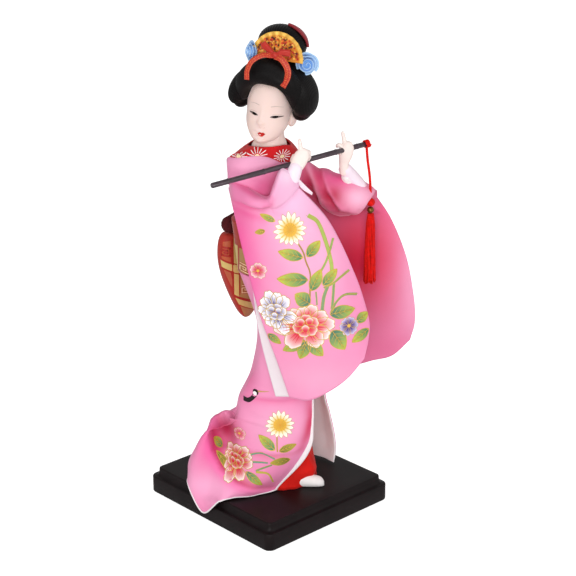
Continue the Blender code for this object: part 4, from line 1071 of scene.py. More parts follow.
# %% Sleeves
def sleeve(
    name, tube, turns, rows, thick, folds, seed, tint_spots, shading_streaks, base, replaces, down=150,
    across=130
):
    """Bag and forearm in one: the tube gives the top rows, and the rows below are the hanging cloth."""
    tube = through(tube, across)
    line, sizes = tube[:, :3], tube[:, 3:]
    s = np.linspace(0, 1, across)
    cap = np.sqrt(np.clip(1 - np.clip((0.08 - s) / 0.08, 0, 1) ** 2, 0.001, 1))
    front, back = [], []
    for turn in turns:
        a = math.radians(turn)
        front.append(
            line + np.stack(
                [0 * s, cap * sizes[:, 0] * math.cos(a), cap * sizes[:, 1] * math.sin(a)], axis=1
            )
        )
        back.append(
            line + np.stack(
                [0 * s, -cap * sizes[:, 0] * math.cos(a), cap * sizes[:, 1] * math.sin(a)], axis=1
            )
        )
    hanging = np.array([through(row, across) for row in rows])
    edge = np.sin(math.pi * np.clip(s, 0.001, 0.999)) ** 0.3
    for k, row in enumerate(hanging):
        share = edge * min(1.0, (len(hanging) - 0.7 - k) / 1.5)
        front.append(row + np.stack([0 * s, share * thick / 2 + 0.3, 0 * s], axis=1))
        back.append(row - np.stack([0 * s, share * thick / 2 + 0.3, 0 * s], axis=1))
    front, back = through(front, down), through(back, down)
    front, back = posed(front), posed(back)
    tint = shade_and_highlight_streaks(front, shade_and_highlight_spots(front, base, tint_spots), shading_streaks)
    front = rippled(folded(front, folds), 0.35, 24, seed)
    made = between(name, front, back, satin, (tint, shade_and_highlight_spots(back, base, ())), replaces)
    return made, front


arm_right = limb(
    "arm_right_cotton",
    posed(
        ((-15, 19.5, 204.5), (-8, 22.5, 203.2), (-1, 23.5, 201.8), (5, 22.8, 204.6), (12.6, 20.8, 212.6))
    ),
    (2.4, 2.4, 1.8, 2.0, 2.4),
    30,
    24,
    cotton,
    replaces=["arm_right"],
)

NEAR_TUBE = (
    (-22.6, 11, 206, 5, 5), (-18.7, 17, 205.7, 6.5, 6.6), (-11.8, 22, 204.9, 7.4, 5.6),
    (-3.1, 24.8, 202.8, 6.6, 3.0),
    (1, 25.3, 202.6, 6.2, 3.2), (3.4, 25, 204.5, 6.0, 7.8), (7.4, 23.8, 208.5, 6.0, 13.0),
    (11.5, 22.4, 209.5, 5.6, 11.0),
    (15, 21.2, 210, 4.8, 6.5), (18.3, 20, 210.8, 3.0, 1.6),
)
NEAR_ROWS = (
    ((-16.5, 26, 181), (-3, 28, 181.5), (9.5, 28.5, 184), (24, 27, 187.5), (36.3, 22, 189)),
    ((-10.5, 27.5, 155.5), (5, 30, 156), (20.5, 30.5, 159), (35.5, 28.5, 163), (51.5, 24, 157.2)),
    ((-4, 29, 130.5), (12, 32.5, 130.5), (28, 33, 132.5), (44.5, 31, 135), (60, 26, 131)),
    ((5, 32.5, 106), (20, 36, 106.5), (36, 36.5, 110), (50, 34, 114), (60.2, 30, 119)),
    ((12.8, 35.5, 82.6), (24.5, 38.5, 82.3), (37, 39, 88.6), (48, 37, 96.4), (57.5, 33.5, 107)),
)
POUCH = ((-21, 203), (-15.8, 200.9), (-10.1, 199.9), (-3.1, 200.5), (1.3, 202.7), (1.9, 206))
SECOND = ((-21, 198.6), (-11.8, 196.3), (-3.2, 194.3))
near_folds = (
    (POUCH, 6.0, 2.0, 1),
    (SECOND, 6.0, 1.3, 1),
    (CREASE, 3.0, 0.7, 1),
    (((-18, 191), (-8, 186), (2, 184)), 4.0, 0.6, 0),
    (((2, 206), (6, 190), (20, 120)), 6.0, 0.8, 0),
    (((16, 200), (30, 170), (40, 120)), 6.0, -0.7, 0),
    (((26, 196), (44, 165), (52, 128)), 4.0, 0.8, 0),
    (((-8, 160), (8, 110)), 4.0, -0.5, 0),
)
# Painted light and shade on the near sleeve: the hot pink spots are painted shade along its left edge and
# under the pouch, and the light pink spots are painted highlights on the pouch and the hanging cloth.
near_shade_and_highlight_spots = (
    (-17, 178, 9, 24, "#e24c90", 0.9),
    (-9, 148, 6, 30, "#e4569a", 0.75),
    (-2, 190, 9, 8, "#e87bac", 0.6),
    (30, 96, 34, 14, "#efabc8", 0.6),
    (16, 200, 16, 26, "#efc0dd", 0.85),
    (28, 168, 20, 26, "#eeb4d2", 0.7),
    (12, 219, 6, 6, "#f4d7ea", 0.8),
    (20, 130, 30, 20, "#f0a4c4", 0.4),
)
# Painted shade in deep pink on both sides of the pouch's crease, along the second fold and along the crease
# at the chest.
near_shade_and_highlight_streaks = (
    (POUCH, 2.2, "#df4f86", 0.8, -1),
    (POUCH, 1.6, "#e0679c", 0.6, 1),
    (SECOND, 3.5, "#e4518e", 0.7, -1),
    (CREASE, 2.0, "#dd4a84", 0.85, -1),
)
sleeve_right, near_front = sleeve(
    "sleeve_right_satin",
    NEAR_TUBE,
    (90, 60, 30, 0, -30, -60),
    NEAR_ROWS,
    4.0,
    near_folds,
    5,
    near_shade_and_highlight_spots,
    near_shade_and_highlight_streaks,
    PINK,
    ["sleeve_right"],
)

FAR_TUBE = (
    (14, -5, 209, 5, 4), (21.4, -8, 209, 6, 7.5), (26.8, -10.5, 206.5, 7.5, 7.3),
    (31.7, -12, 202.5, 9, 8.4),
    (36.5, -12.6, 200, 10, 10.8), (40.5, -13, 198.3, 10.6, 10.8), (46, -13.2, 197, 11, 10.6),
    (52, -14, 196, 10.6, 10.2),
    (58, -16, 194.8, 8.5, 8), (63, -18.5, 193.6, 5.5, 4.8), (67, -20.5, 193.5, 2.6, 2.2),
)
FAR_ROWS = (
    ((27, -22, 178), (41, -22, 177), (54.5, -22, 179), (66, -22, 181), (76.5, -22, 176.5)),
    ((29, -22, 151), (45.5, -22, 151), (61, -22, 153), (74.5, -22, 155), (86, -22, 153)),
    ((32, -22, 124.5), (49.5, -22, 125.5), (66.5, -22, 127), (81.5, -22, 130), (91.5, -22, 126.5)),
    ((34.5, -22, 99), (52, -22, 99), (68, -22, 101), (83, -22, 105), (92.6, -22, 109.5)),
    ((37, -22, 75), (52, -22, 79), (66, -22, 83), (79, -22, 86.5), (90, -22, 97)),
)
SWAG = (
    (22.6, 214), (26.2, 206.5), (29.3, 200), (33, 192), (38, 185.8), (44, 182.6), (50, 183),
    (56, 186.9), (60, 192), (63.5, 195)
)
SWAG_IN = ((32.7, 208.2), (35.8, 200.8), (39.4, 194.5), (44.3, 189.5), (50, 188))
far_folds = (
    (SWAG, 7.0, 4.2, 1),
    (SWAG_IN, 5.0, 2.8, 1),
    (((33, 198), (38, 196), (43, 195)), 4.0, -2.4, 0),
    (((60, 176), (84, 110)), 4.0, 0.9, 0),
    (((48, 166), (70, 96)), 6.0, -0.8, 0),
    (((74, 170), (90, 124)), 3.0, 0.6, 0),
)
# Painted light and shade on the far sleeve: the crimson and deep pink spots are painted shade over its
# hanging bag and in the hollows of the swags, and the pale pink spots are painted highlights beside the swag
# and along its right edge.
far_shade_and_highlight_spots = (
    (56, 152, 28, 38, "#d81c44", 1.0),
    (28, 206, 9, 11, "#cc2c5c", 0.95),
    (92, 140, 10, 44, "#f0a6c6", 0.8),
    (66, 92, 30, 10, "#e8709c", 0.7),
    (39, 197.5, 7, 6, "#b8183e", 1.0),
    (54, 196, 8, 7, "#f6b8d2", 1.0),
    (42, 207, 9, 3.4, "#ea5a92", 0.8),
    (70, 188, 5, 10, "#e0507e", 0.6),
)
# Painted highlights in pale pink along the lips of the swags, and painted shade in crimson below them.
far_shade_and_highlight_streaks = (
    (SWAG, 2.0, "#f8bcd4", 1.0, 1),
    (SWAG, 5.0, "#a8162e", 0.8, -1),
    (SWAG_IN, 1.8, "#f08cb2", 0.9, 1),
    (SWAG_IN, 2.6, "#b4163a", 0.9, -1),
)
sleeve_left, _ = sleeve(
    "sleeve_left_satin",
    FAR_TUBE,
    (90, 60, 30, 0, -30, -60),
    FAR_ROWS,
    4.0,
    far_folds,
    9,
    far_shade_and_highlight_spots,
    far_shade_and_highlight_streaks,
    # The far sleeve's base pink is darker than PINK on the same satin: painted shade.
    "#e67fa8",
    ["sleeve_left"],
)
print("sleeves", sleeve_right.dimensions[:], sleeve_left.dimensions[:])

mouth = posed(
    (
        ((17.0, 20.5, 216.2), (19.4, 19.8, 213.4), (22.6, 19.0, 209.8), (26.6, 18.4, 205.6)),
        ((16.8, 20.4, 213.4), (18.4, 19.8, 210.6), (21.2, 19.2, 207.4), (26.0, 18.4, 204.2)),
    )
)
mouth_lining = cloth("sleeve_mouth_lining", patch(mouth, 8, 30), 0.5, lining, one_colour("#efdfe8", 8, 30))

strip = [
    posed([(a, d, z), (a + 3.5 + wide, d + 0.6, z)])
    for a, d, z, wide in (
        (-9.4, 22.6, 152, 0), (-7, 24.8, 131, 2), (-4.2, 27.4, 116, 4.5), (0, 30.4, 99, 8),
        (4.4, 33.8, 82.8, 7.5)
    )
]
strip_grid = patch(strip, 60, 16)
sleeve_lining = cloth(
    "sleeve_lining_white", strip_grid, 0.5, lining, one_colour("#e3d8dc", 60, 16),
    ["sleeve_right_lining"]
)

# %% [markdown]
# The pale inner sleeves reach out at the wrists, and the hands close round the flute.

# %% Cuffs and hands
for name, path, radii in (
    ("cuff_right", ((13.2, 20.9, 212.0), (14.8, 20.4, 216.0), (16.2, 19.8, 220.6)), (3.8, 4.3, 4.2)),
    ("cuff_left", ((56.0, -13.0, 200.6), (51.5, -10.8, 206.0), (46.8, -7.0, 212.6)), (4.2, 4.6, 4.1)),
):
    line, sizes = rounded(posed(path), radii, 30, 3)
    rings = rings_along(line, sizes, 48)
    cuff = lofted(name + "_silk", rings, lining, one_colour("#f6e3ee", len(rings), 48), [name])


def merge(name, parts, material, replaces, voxel, smooth):
    """Joins overlapping shapes into one skin and smooths it."""
    bpy.ops.object.select_all(action="DESELECT")
    for part in parts:
        part.parent = None
        part.select_set(True)
    bpy.context.view_layer.objects.active = parts[0]
    bpy.ops.object.join()
    made = bpy.context.view_layer.objects.active
    made.name = name
    remesh = made.modifiers.new("skin", "REMESH")
    remesh.mode = "VOXEL"
    remesh.voxel_size = voxel * MM
    remesh.use_smooth_shade = True
    soften = made.modifiers.new("soft", "SMOOTH")
    soften.factor = 0.5
    soften.iterations = smooth
    graph = bpy.context.evaluated_depsgraph_get()
    mesh = bpy.data.meshes.new_from_object(made.evaluated_get(graph))
    made.modifiers.clear()
    made.data = mesh
    mesh.materials.clear()
    mesh.materials.append(material)
    mesh.shade_smooth()
    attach(made, "root")
    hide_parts(*replaces)
    return made


FINGER = (1.45, 1.35, 1.05)


def hand(name, palm, palm_sizes, fingers, replaces):
    parts = [limb(name, posed(palm), palm_sizes, 24, 24, hand_skin_painted_light, posed((0, 1, 0)))]
    for path, sizes in fingers:
        parts.append(limb("finger", posed(path), sizes, 18, 14, hand_skin_painted_light, posed((0, 1, 0.1))))
    made = merge(name, parts, hand_skin_painted_light, replaces, 0.36, 3)
    return made


hand(
    "hand_right_painted",
    (
        (13.6, 19.6, 214.5), (15.4, 19.2, 218.5), (17.6, 19.0, 223.0), (20.2, 18.6, 228.0),
        (21.4, 18.4, 230.6)
    ),
    ((3.0, 2.5), (3.2, 2.6), (4.4, 2.8), (4.4, 2.5), (3.2, 1.9)),
    (
        (((19.4, 18.6, 228.0), (19.4, 18.2, 232.5), (18.8, 17.6, 237.0)), FINGER),
        (((22.0, 18.4, 230.4), (24.2, 16.6, 229.6), (24.2, 14.0, 226.8)), FINGER),
        (((22.4, 18.4, 227.6), (24.4, 16.4, 227.0), (24.0, 13.8, 224.4)), FINGER),
        (((15.4, 19.0, 220.5), (14.6, 17.0, 224.5), (15.4, 14.6, 227.0)), FINGER),
    ),
    ["hand_right"],
)
hand(
    "hand_left_painted",
    (
        (46.2, -5.6, 211.5), (45.8, -4.6, 217.0), (46.6, -3.2, 222.0), (47.6, -2.4, 227.0),
        (47.8, -2.4, 229.4)
    ),
    ((3.0, 2.5), (3.0, 2.5), (4.0, 2.7), (4.0, 2.4), (3.0, 1.9)),
    (
        (((46.2, -2.6, 228.0), (45.6, -3.0, 232.0), (44.8, -3.4, 236.0)), FINGER),
        (((44.6, -3.0, 227.8), (42.4, -2.4, 228.8), (41.6, -4.6, 227.6)), FINGER),
        (((44.4, -3.2, 224.8), (42.0, -1.6, 225.0), (41.4, -4.4, 223.4)), FINGER),
        (((48.8, -3.6, 222.0), (50.4, -4.8, 226.0), (49.0, -6.4, 229.0)), FINGER),
    ),
    ["hand_left"],
)

# %% [markdown]
# The head is cast resin with a smooth pale face. Rings from the chin to the crown give the skull,
# and low bumps model the nose, cheeks, lips and eye sockets.

# %% Head
HEAD_RINGS = (
    (-18.9, 1.2, 3.2, 1.2, -6.4), (-18.6, 3.0, 5.0, 3.0, -6.0), (-17.8, 5.8, 7.6, 5.0, -5.0),
    (-15.6, 8.7, 10.3, 9.0, -3.4), (-12.0, 11.1, 11.7, 12.0, -2.0),
    (-8.0, 12.5, 12.6, 13.6, -1.0), (-3.0, 12.9, 12.9, 14.5, 0.0), (2.0, 13.2, 12.6, 15.6, 0.4),
    (7.0, 13.2, 12.6, 16.0, 0.6),
    (12.0, 12.6, 12.2, 15.4, 0.6), (16.0, 11.2, 10.8, 13.6, 0.6), (19.0, 8.8, 8.4, 10.6, 0.6),
    (21.0, 5.0, 5.0, 6.2, 0.6), (21.6, 1.5, 1.5, 2.0, 0.6),
)
SIDES = 160
head_rows = through(HEAD_RINGS, 150)
a = np.linspace(0, 2 * math.pi, SIDES, endpoint=False)
FACE_SHIFT = np.array((-1.5, -0.6, 0.0))
local = np.stack(
    [
        head_rows[:, 1:2] * np.cos(a),
        head_rows[:, 4:5] + np.where(np.sin(a) > 0, head_rows[:, 3:4], head_rows[:, 2:3]) * np.sin(a),
        head_rows[:, 0:1] + 0 * a,
    ],
    axis=2,
)


def bump(points, x, z, wide, tall, height):
    """Raises the face round a place seen from the front. Only the front half moves."""
    front = np.clip(-points[..., 1] / 8, 0, 1)
    share = np.exp(-(((points[..., 0] - x) / wide) ** 2) - ((points[..., 2] - z) / tall) ** 2)
    points[..., 1] -= height * share * front


bump(local, 0, -5.4, 1.7, 1.7, 1.5)
bump(local, 0, -2.5, 1.4, 3.6, 0.7)
bump(local, 0, 2.0, 1.2, 3.0, 0.5)
for s in (-1, 1):
    bump(local, s * 6.2, 1.0, 3.4, 2.0, -0.8)
    bump(local, s * 6.2, 0.9, 2.6, 1.2, 0.45)
    bump(local, s * 7.2, -5.5, 3.8, 3.4, 0.5)
    bump(local, s * 1.6, -5.4, 0.8, 0.8, 0.5)
    bump(local, s * 1.1, -10.6, 1.2, 0.6, 0.45)
bump(local, 0, -12.4, 1.7, 0.8, 0.55)
bump(local, 0, -11.5, 3.2, 0.35, -0.35)
bump(local, 0, -14.2, 2.4, 0.7, -0.5)
bump(local, 0, -17.0, 2.8, 1.6, 0.7)
local += FACE_SHIFT
head = lofted("head_painted", on_head(local.reshape(-1, 3)).reshape(local.shape), skin, None, ["head"])

neck_control = (
    (206.0, 7.0, 7.0, -0.6, -1.0), (224.0, 8.0, 7.6, -0.6, -1.6), (229.0, 11.0, 9.6, -0.6, -2.4),
    (232.0, 10.6, 9.2, -0.6, -2.8),
    (235.0, 8.9, 8.2, -0.8, -3.6), (239.0, 7.9, 7.6, -0.8, -4.1), (244.0, 7.7, 7.6, -0.9, -4.6),
    (250.0, 7.7, 7.6, -0.9, -4.8),
)
neck = lofted(
    "neck_painted", [oval(wx, wy, z, 80, (x, y)) for z, wx, wy, x, y in through(neck_control, 60)],
    skin
)
for s in (-1, 1):
    ear = lofted(
        "ear_" + ("left" if s > 0 else "right"),
        ball_rings(on_head((s * 11.2, 5.2, -6.5)), (2.6, 4.4, 4.8), HEAD_AXES, 20, 30), skin
    )

# %% [markdown]
# The hair is dressed in large smooth lobes over the padding: a high front roll, two side wings
# and the nape, with the top knot above. Fine grooves follow the way it was combed.

# %% Hair
def lobe(name, path, radii, up=(0, 1, 0), grooves=56, depth=0.012, replaces=(), count=64, sides=280):
    made = limb(
        name, on_head(path), radii, count, sides, hair_fibre, HEAD_AXES @ np.array(up, float),
        replaces, depth, grooves
    )
    return made


crown = lofted(
    "hair_crown", ball_rings(on_head((0.1, 5.6, 13.5)), (16.7, 14.8, 16.9), HEAD_AXES, 60, 90),
    hair_fibre, None, ["hair"]
)
lobe(
    "hair_front_roll",
    (
        (-16.5, -4.0, 8), (-14, -8.5, 17), (-7.5, -10.5, 23.2), (0.5, -11, 25), (8.5, -10.5, 23.2),
        (14.5, -8.5, 17), (17, -4.0, 8)
    ),
    ((4.6, 6), (5.6, 6.6), (6.8, 7), (7.4, 7.2), (6.8, 7), (5.6, 6.6), (4.6, 6)),
)
for s, path, radii in (
    (
        -1, ((-5, 1, 25), (-10.5, 0.5, 18), (-17.0, 0.5, 12.0), (-20.2, 0.5, 5), (-19.2, 1, 1.5)),
        ((4, 8), (5.8, 10), (7.2, 11.5), (6.9, 11), (5, 8))
    ),
    (
        1, ((6.5, 1, 26), (13, 0.5, 20), (18.2, 0.5, 13), (19.6, 0.5, 6.0), (18.4, 1, 1.4)),
        ((5, 9), (7.2, 11), (7.6, 12), (7.2, 11), (5.4, 8))
    ),
):
    lobe("hair_wing_" + ("left" if s > 0 else "right"), path, radii)
lobe(
    "hair_nape",
    ((0.3, 9, 22), (0.3, 15.5, 15), (0.2, 18.5, 5), (0, 17.5, -3), (0, 15, -7)),
    ((11, 5), (13, 7), (13, 8), (11, 6), (8, 4)),
    (0, 0.3, 1),
)
BUN = np.array((1.5, 4.0, 38.0))
BUN_SIDES, BUN_GROOVES = 264, 52
bun_rings = ball_rings((0, 0, 0), (14.4, 11.0, 11.5), None, 64, BUN_SIDES)
a = np.linspace(0, 2 * math.pi, BUN_SIDES, endpoint=False)[None, :, None]
bun_rings = bun_rings * (1 + 0.008 * np.sin(BUN_GROOVES * a))
bun_rings = bun_rings[:, :, [0, 2, 1]]
top_knot = lofted(
    "hair_top_knot", on_head(bun_rings.reshape(-1, 3) + BUN).reshape(bun_rings.shape), hair_fibre,
    None, ["top_knot"]
)

# %% [markdown]
# Hair ornaments: red crepe over the top knot, a gold fan in front of it, a ribbon bow whose two
# tails hang down, and two roses rolled out of blue satin ribbon.

# %% Hair ornaments
ORANGE = "#b42214"
CREPE_RINGS, CREPE_SIDES = 40, 60
crepe_arc = [
    (1.5 + 14.9 * math.sin(t), 5.5, 38.0 + 11.5 * math.cos(t))
    for t in np.radians(np.linspace(8, 88, CREPE_RINGS))
]
crepe_sizes = [(2.6 * math.sin(0.3 + 2.5 * k / (CREPE_RINGS - 1)), 0.8) for k in range(CREPE_RINGS)]
crepe_rings = rings_along(
    on_head(crepe_arc), crepe_sizes, CREPE_SIDES, HEAD_AXES @ np.array((0, 0.1, 1)), 0.06, 7
)
crepe_tint = one_colour("#8c1c26", CREPE_RINGS, CREPE_SIDES)
crepe = lofted("hair_crepe_red", crepe_rings, ribbon, crepe_tint, ["hair_crepe"])

FAN_R = 15.8
fan_a = np.radians(np.linspace(-88, 88, 120))
lean = math.radians(-12)


def on_fan(u, v, w):
    """Place on the fan's plate: u across, v up it, w out of it toward the front."""
    return on_head(
        np.stack(
            [
                3.6 + u, -8.8 - w * math.cos(lean) - v * math.sin(lean),
                32.6 + v * math.cos(lean) - w * math.sin(lean)
            ],
            axis=-1
        )
    )


radial = np.linspace(0.28, 1.0, 30)[:, None]
fan_u, fan_v = FAN_R * radial * np.sin(fan_a), FAN_R * radial * np.cos(fan_a)
pleat = 0.25 * np.sign(np.sin(fan_a * 22)) * np.abs(np.sin(fan_a * 22)) ** 0.5
fan_front = on_fan(fan_u, fan_v, 1.0 + pleat * radial)
fan_back = on_fan(fan_u, fan_v, 0.4 + pleat * radial)
rim = np.clip((radial - 0.86) / 0.03, 0, 1)[..., None] * np.ones((1, 120, 1))
fan_tint = colour("#d48420") * (1 - rim) + colour("#e3b04a") * rim
fan = between("hair_fan_gold", fan_front, fan_back, gold_card, fan_tint, ["hair_fan"])

KNOT = np.array([3.6, -13.0, 36.4])
bow_knot = lofted(
    "bow_knot_ribbon", ball_rings(on_head(KNOT), (2.2, 1.8, 2.0), HEAD_AXES, 20, 30), ribbon,
    one_colour(ORANGE, 20, 30), ["bow_knot"]
)
for s in (-1, 1):
    line, sizes = rounded(
        on_head(
            [KNOT + (s * 0.8, 0.2, 0.3), KNOT + (s * 4.0, 0.6, 2.0), KNOT + (s * 8.0, 1.2, 3.4 - s * 1.2)]
        ),
        ((1.0, 0.8), (1.9, 1.0), (2.1, 0.8)),
        24,
    )
    rings = rings_along(line, sizes, 32, HEAD_AXES @ np.array((0, 1, 0)), 0.08, 5)
    loop = lofted(
        "bow_loop_" + ("left" if s > 0 else "right"), rings, ribbon,
        one_colour(ORANGE, len(rings), 32), ["bow_loops"]
    )

TAIL_RINGS, TAIL_SIDES = 50, 24
for name, path, wide in (
    (
        "bow_tail_right",
        (
            (2.6, -13.4, 36.0), (-2.5, -16.8, 36.2), (-7.5, -19.4, 32.5), (-9.4, -20.8, 27.0),
            (-9.2, -20.9, 21.6)
        ),
        3.0
    ),
    (
        "bow_tail_left",
        (
            (4.0, -13.4, 36.0), (8.5, -14.8, 35.4), (12.4, -15.6, 31.4), (13.4, -16.2, 26.5),
            (11.4, -17.4, 20.4)
        ),
        3.7
    ),
):
    line = through(on_head(path), TAIL_RINGS)
    tail_sizes = [(wide / 2, 0.4)] * TAIL_RINGS
    rings = rings_along(line, tail_sizes, TAIL_SIDES, HEAD_AXES @ np.array((0, -1, 0.6)))
    lengthways, crossways = np.arange(TAIL_RINGS) * 1.9, np.arange(TAIL_SIDES) * 2.3
    check = (np.sin(lengthways)[:, None] * np.sin(crossways)[None] > 0.55)[..., None]
    tint = np.where(check, colour("#dd7a34"), colour(ORANGE))
    tail = lofted(name + "_ribbon", rings, ribbon, tint, [name])


def rose(name, middle, radius, facing, replaces):
    """A ribbon rolled into a rose: it turns outward as it winds, and its edge flares."""
    facing = np.array(facing, float) / np.linalg.norm(facing)
    side = np.cross(facing, (0, 0, 1))
    side /= np.linalg.norm(side)
    top = np.cross(side, facing)
    turns, high = np.linspace(0, 1, 260)[:, None], np.linspace(0, 1, 9)[None]
    angle = turns * 2 * math.pi * 3.6
    petal = 1 + 0.12 * np.abs(np.sin(angle * 1.35)) * turns
    r = radius * (0.08 + 0.92 * turns**0.8) * petal * (0.62 + 0.38 * high**1.4)
    h = radius * (-0.35 + (0.85 - 0.5 * turns**1.5) * high - 0.12 * high**3 * turns)
    sideways, upward = side * (np.cos(angle) * r)[..., None], top * (np.sin(angle) * r)[..., None]
    grid = middle + sideways + upward + facing * h[..., None]
    grid = on_head(grid.reshape(-1, 3)).reshape(grid.shape)
    share = np.clip(high + 0.1 + 0 * turns, 0, 1)[..., None]
    tint = colour("#5c93d8") * (1 - share) + colour("#b4d4f4") * share
    made = cloth(name, grid, 0.25, ribbon, tint, replaces)
    heart_axes = HEAD_AXES @ np.stack([side, top, facing], axis=1)
    heart_rings = ball_rings(on_head(middle), (radius * 0.5, radius * 0.5, radius * 0.3), heart_axes)
    heart = lofted(name + "_heart", heart_rings, ribbon, one_colour("#6c9fdf", 24, 36))
    return made


rose("rose_right_ribbon", (-12.6, -8.5, 34.0), 6.4, (-0.75, -0.65, 0.1), ["rose_right"])
rose("rose_left_ribbon", (18.4, 0.2, 30.0), 7.0, (0.5, -0.85, 0.15), ["rose_left"])

# %% [markdown]
# The flowers are printed on the satin: fields of dye that fade from the heart of a petal to its
# edge, each with a thin gold outline. A print is thin ink, so its patches are laid on the cloth
# where a straight look from the viewer meets it, a tenth to a third of a millimetre above it.

# %% Ink on cloth
class Ink:
    """Patches of dye with their colours, and the gold lines over them."""

    def __init__(self, grids, way, axes, above=0.0):
        self.above = above
        points, cells = [], []
        for grid in [grids] if isinstance(grids, np.ndarray) else grids:
            cells += grid_faces(*grid.shape[:2], sum(len(p) for p in points))
            points.append(grid.reshape(-1, 3))
        self.tree = BVHTree.FromPolygons(np.concatenate(points).tolist(), cells)
        self.way, self.axes = np.asarray(way, float), axes
        self.parts = {"dye": ([], [], []), "gold": ([], [], [])}

    def land(self, flat, lift):
        """Places on the cloth under flat places, raised by the lift."""
        out = []
        for a, z in flat.reshape(-1, 2):
            origin = self.axes[0] * a + self.axes[1] * z + self.way * 150 + self.axes[2]
            hit, normal, _, _ = self.tree.ray_cast(origin.tolist(), (-self.way).tolist())
            if hit is None:
                hit, normal, _, _ = self.tree.find_nearest((origin - self.way * 125).tolist())
            normal = np.array(normal)
            out.append(np.array(hit) + normal * (self.above + lift) * (1 if normal @ self.way > 0 else -1))
        return np.array(out)

    def patch(self, flat, tint, lift, kind="dye"):
        points, faces, tints = self.parts[kind]
        start = sum(len(p) for p in points)
        landed = self.land(flat, lift)
        depth = landed @ self.way
        for face in grid_faces(*flat.shape[:2]):
            if np.ptp(depth[list(face)]) < 4.5:
                faces.append(tuple(start + k for k in face))
        points.append(landed)
        tints.append(np.broadcast_to(tint, (*flat.shape[:2], 3)).reshape(-1, 3))

    def line(self, path, width, code, lift, kind="dye", taper=0.0):
        path = np.asarray(path, float)
        way = np.gradient(path, axis=0)
        way /= np.maximum(np.linalg.norm(way, axis=1, keepdims=True), 1e-9)
        side = np.stack([-way[:, 1], way[:, 0]], axis=1)
        t = np.linspace(0, 1, len(path))[:, None]
        half = side * width / 2 * (1 - taper * t)
        self.patch(np.stack([path - half, path + half], axis=1), colour(code), lift, kind)

    def finish(self, name, slot):
        made = []
        for kind, material in (("dye", dye), ("gold", gilt)):
            points, faces, tints = self.parts[kind]
            if not points:
                continue
            piece = add_mesh(name + "_" + kind, np.concatenate(points), faces, material, None)
            layer = piece.data.color_attributes.new(SPREAD, "FLOAT_COLOR", "POINT")
            colours = np.ones((len(piece.data.vertices), 4))
            colours[:, :3] = np.concatenate(tints)
            layer.data.foreach_set("color", colours.astype(np.float32).ravel())
            made.append(piece)
        return made


OUTLINE = "#cda445"


def pointed(root, tip, width, bend=0.0, belly=0.45, rows=12, columns=7):
    """Leaf: widest at its belly, and pointed at both ends."""
    root, tip = np.array(root, float), np.array(tip, float)
    way = tip - root
    side = np.array([-way[1], way[0]]) / np.linalg.norm(way)
    t, s = np.linspace(0, 1, rows)[:, None], np.linspace(-1, 1, columns)[None]
    half = width / 2 * np.sin(math.pi * t ** (math.log(0.5) / math.log(belly))) ** 0.8
    curl = bend * np.sin(math.pi * t)
    return root + way * (t + 0 * s)[..., None] + side * (s * half + curl)[..., None]


def round_ended(root, tip, width, notch=0.0, rows=9, columns=9, neck=0.25):
    """Petal: narrow at its root, and round at its outer edge, with a notch if it has one."""
    root, tip = np.array(root, float), np.array(tip, float)
    way = tip - root
    side = np.array([-way[1], way[0]]) / np.linalg.norm(way)
    t, s = np.linspace(0, 1, rows)[:, None], np.linspace(-1, 1, columns)[None]
    half = width / 2 * (neck + (1 - neck) * np.sin(math.pi / 2 * t**0.8))
    reach = t * (1 - 0.42 * t * s**2 - notch * t * np.exp(-((s / 0.3) ** 2)))
    return root + way * reach[..., None] + side * (s * half)[..., None]


def outline(grid):
    """Edge of a petal or leaf, from its root round its tip and back."""
    return np.concatenate([grid[:, 0], grid[-1, 1:-1], grid[::-1, -1]])


def shade(inner, outer, grid, power=1.0, rim=0.0):
    """Colours from the root to the tip of a petal."""
    rows, columns = grid.shape[:2]
    t, s = np.linspace(0, 1, rows)[:, None], np.linspace(-1, 1, columns)[None]
    share = np.clip(t**power + rim * t * s**2, 0, 1)[..., None]
    return colour(inner) * (1 - share) + colour(outer) * share


def petal(ink, root, tip, width, inner, outer, lift, notch=0.0, power=1.0, gold=0.3, neck=0.25):
    grid = round_ended(root, tip, width, notch, neck=neck)
    ink.patch(grid, shade(inner, outer, grid, power, 0.3), lift)
    if gold:
        ink.line(outline(grid), gold, OUTLINE, lift + 0.05, "gold")


def leaf(ink, root, tip, width, lift=0.1, low="#2f7d5e", high="#cdd048", bend=0.0, veins=4):
    grid = pointed(root, tip, width, bend)
    tint = shade(low, high, grid, 1.1)
    tint = tint * (1 - 0.35 * np.exp(-((np.linspace(-1, 1, 7) / 0.2) ** 2)))[None, :, None]
    ink.patch(grid, tint, lift)
    ink.line(outline(grid), 0.4, OUTLINE, lift + 0.05, "gold")
    ink.line(grid[:, 3], 0.36, OUTLINE, lift + 0.06, "gold", 0.5)
    for k in range(veins):
        at = 2 + 2 * k
        if at + 2 < len(grid):
            for edge in (0, -1):
                end = grid[at + 2, 3] * 0.25 + grid[at + 2, edge] * 0.75
                ink.line(np.linspace(grid[at, 3], end, 4), 0.26, OUTLINE, lift + 0.06, "gold", 0.4)


def ring_of(ink, centre, count, inner_r, outer_r, width, inner, outer, lift, turn=0.0, flat=1.0, **more):
    """Petals set round a centre. Flat below 1 makes the flower lower than it is wide."""
    centre = np.array(centre, float)
    for k in range(count):
        a = turn + 2 * math.pi * k / count
        way = np.array([math.cos(a), math.sin(a) * flat])
        stretch = 1 + 0.07 * math.sin(5 * k + 3 * turn)
        petal(
            ink, centre + way * inner_r, centre + way * outer_r * stretch, width, inner, outer,
            lift, **more
        )


def disc(ink, centre, radius, inner, outer, lift, flat=1.0):
    a, r = np.linspace(0, 2 * math.pi, 25)[None], np.linspace(0, 1, 5)[:, None]
    grid = np.array(centre) + np.stack([r * radius * np.cos(a), r * radius * flat * np.sin(a)], axis=2)
    share = np.broadcast_to(r, grid.shape[:2])[..., None]
    ink.patch(grid, colour(inner) * (1 - share) + colour(outer) * share, lift)


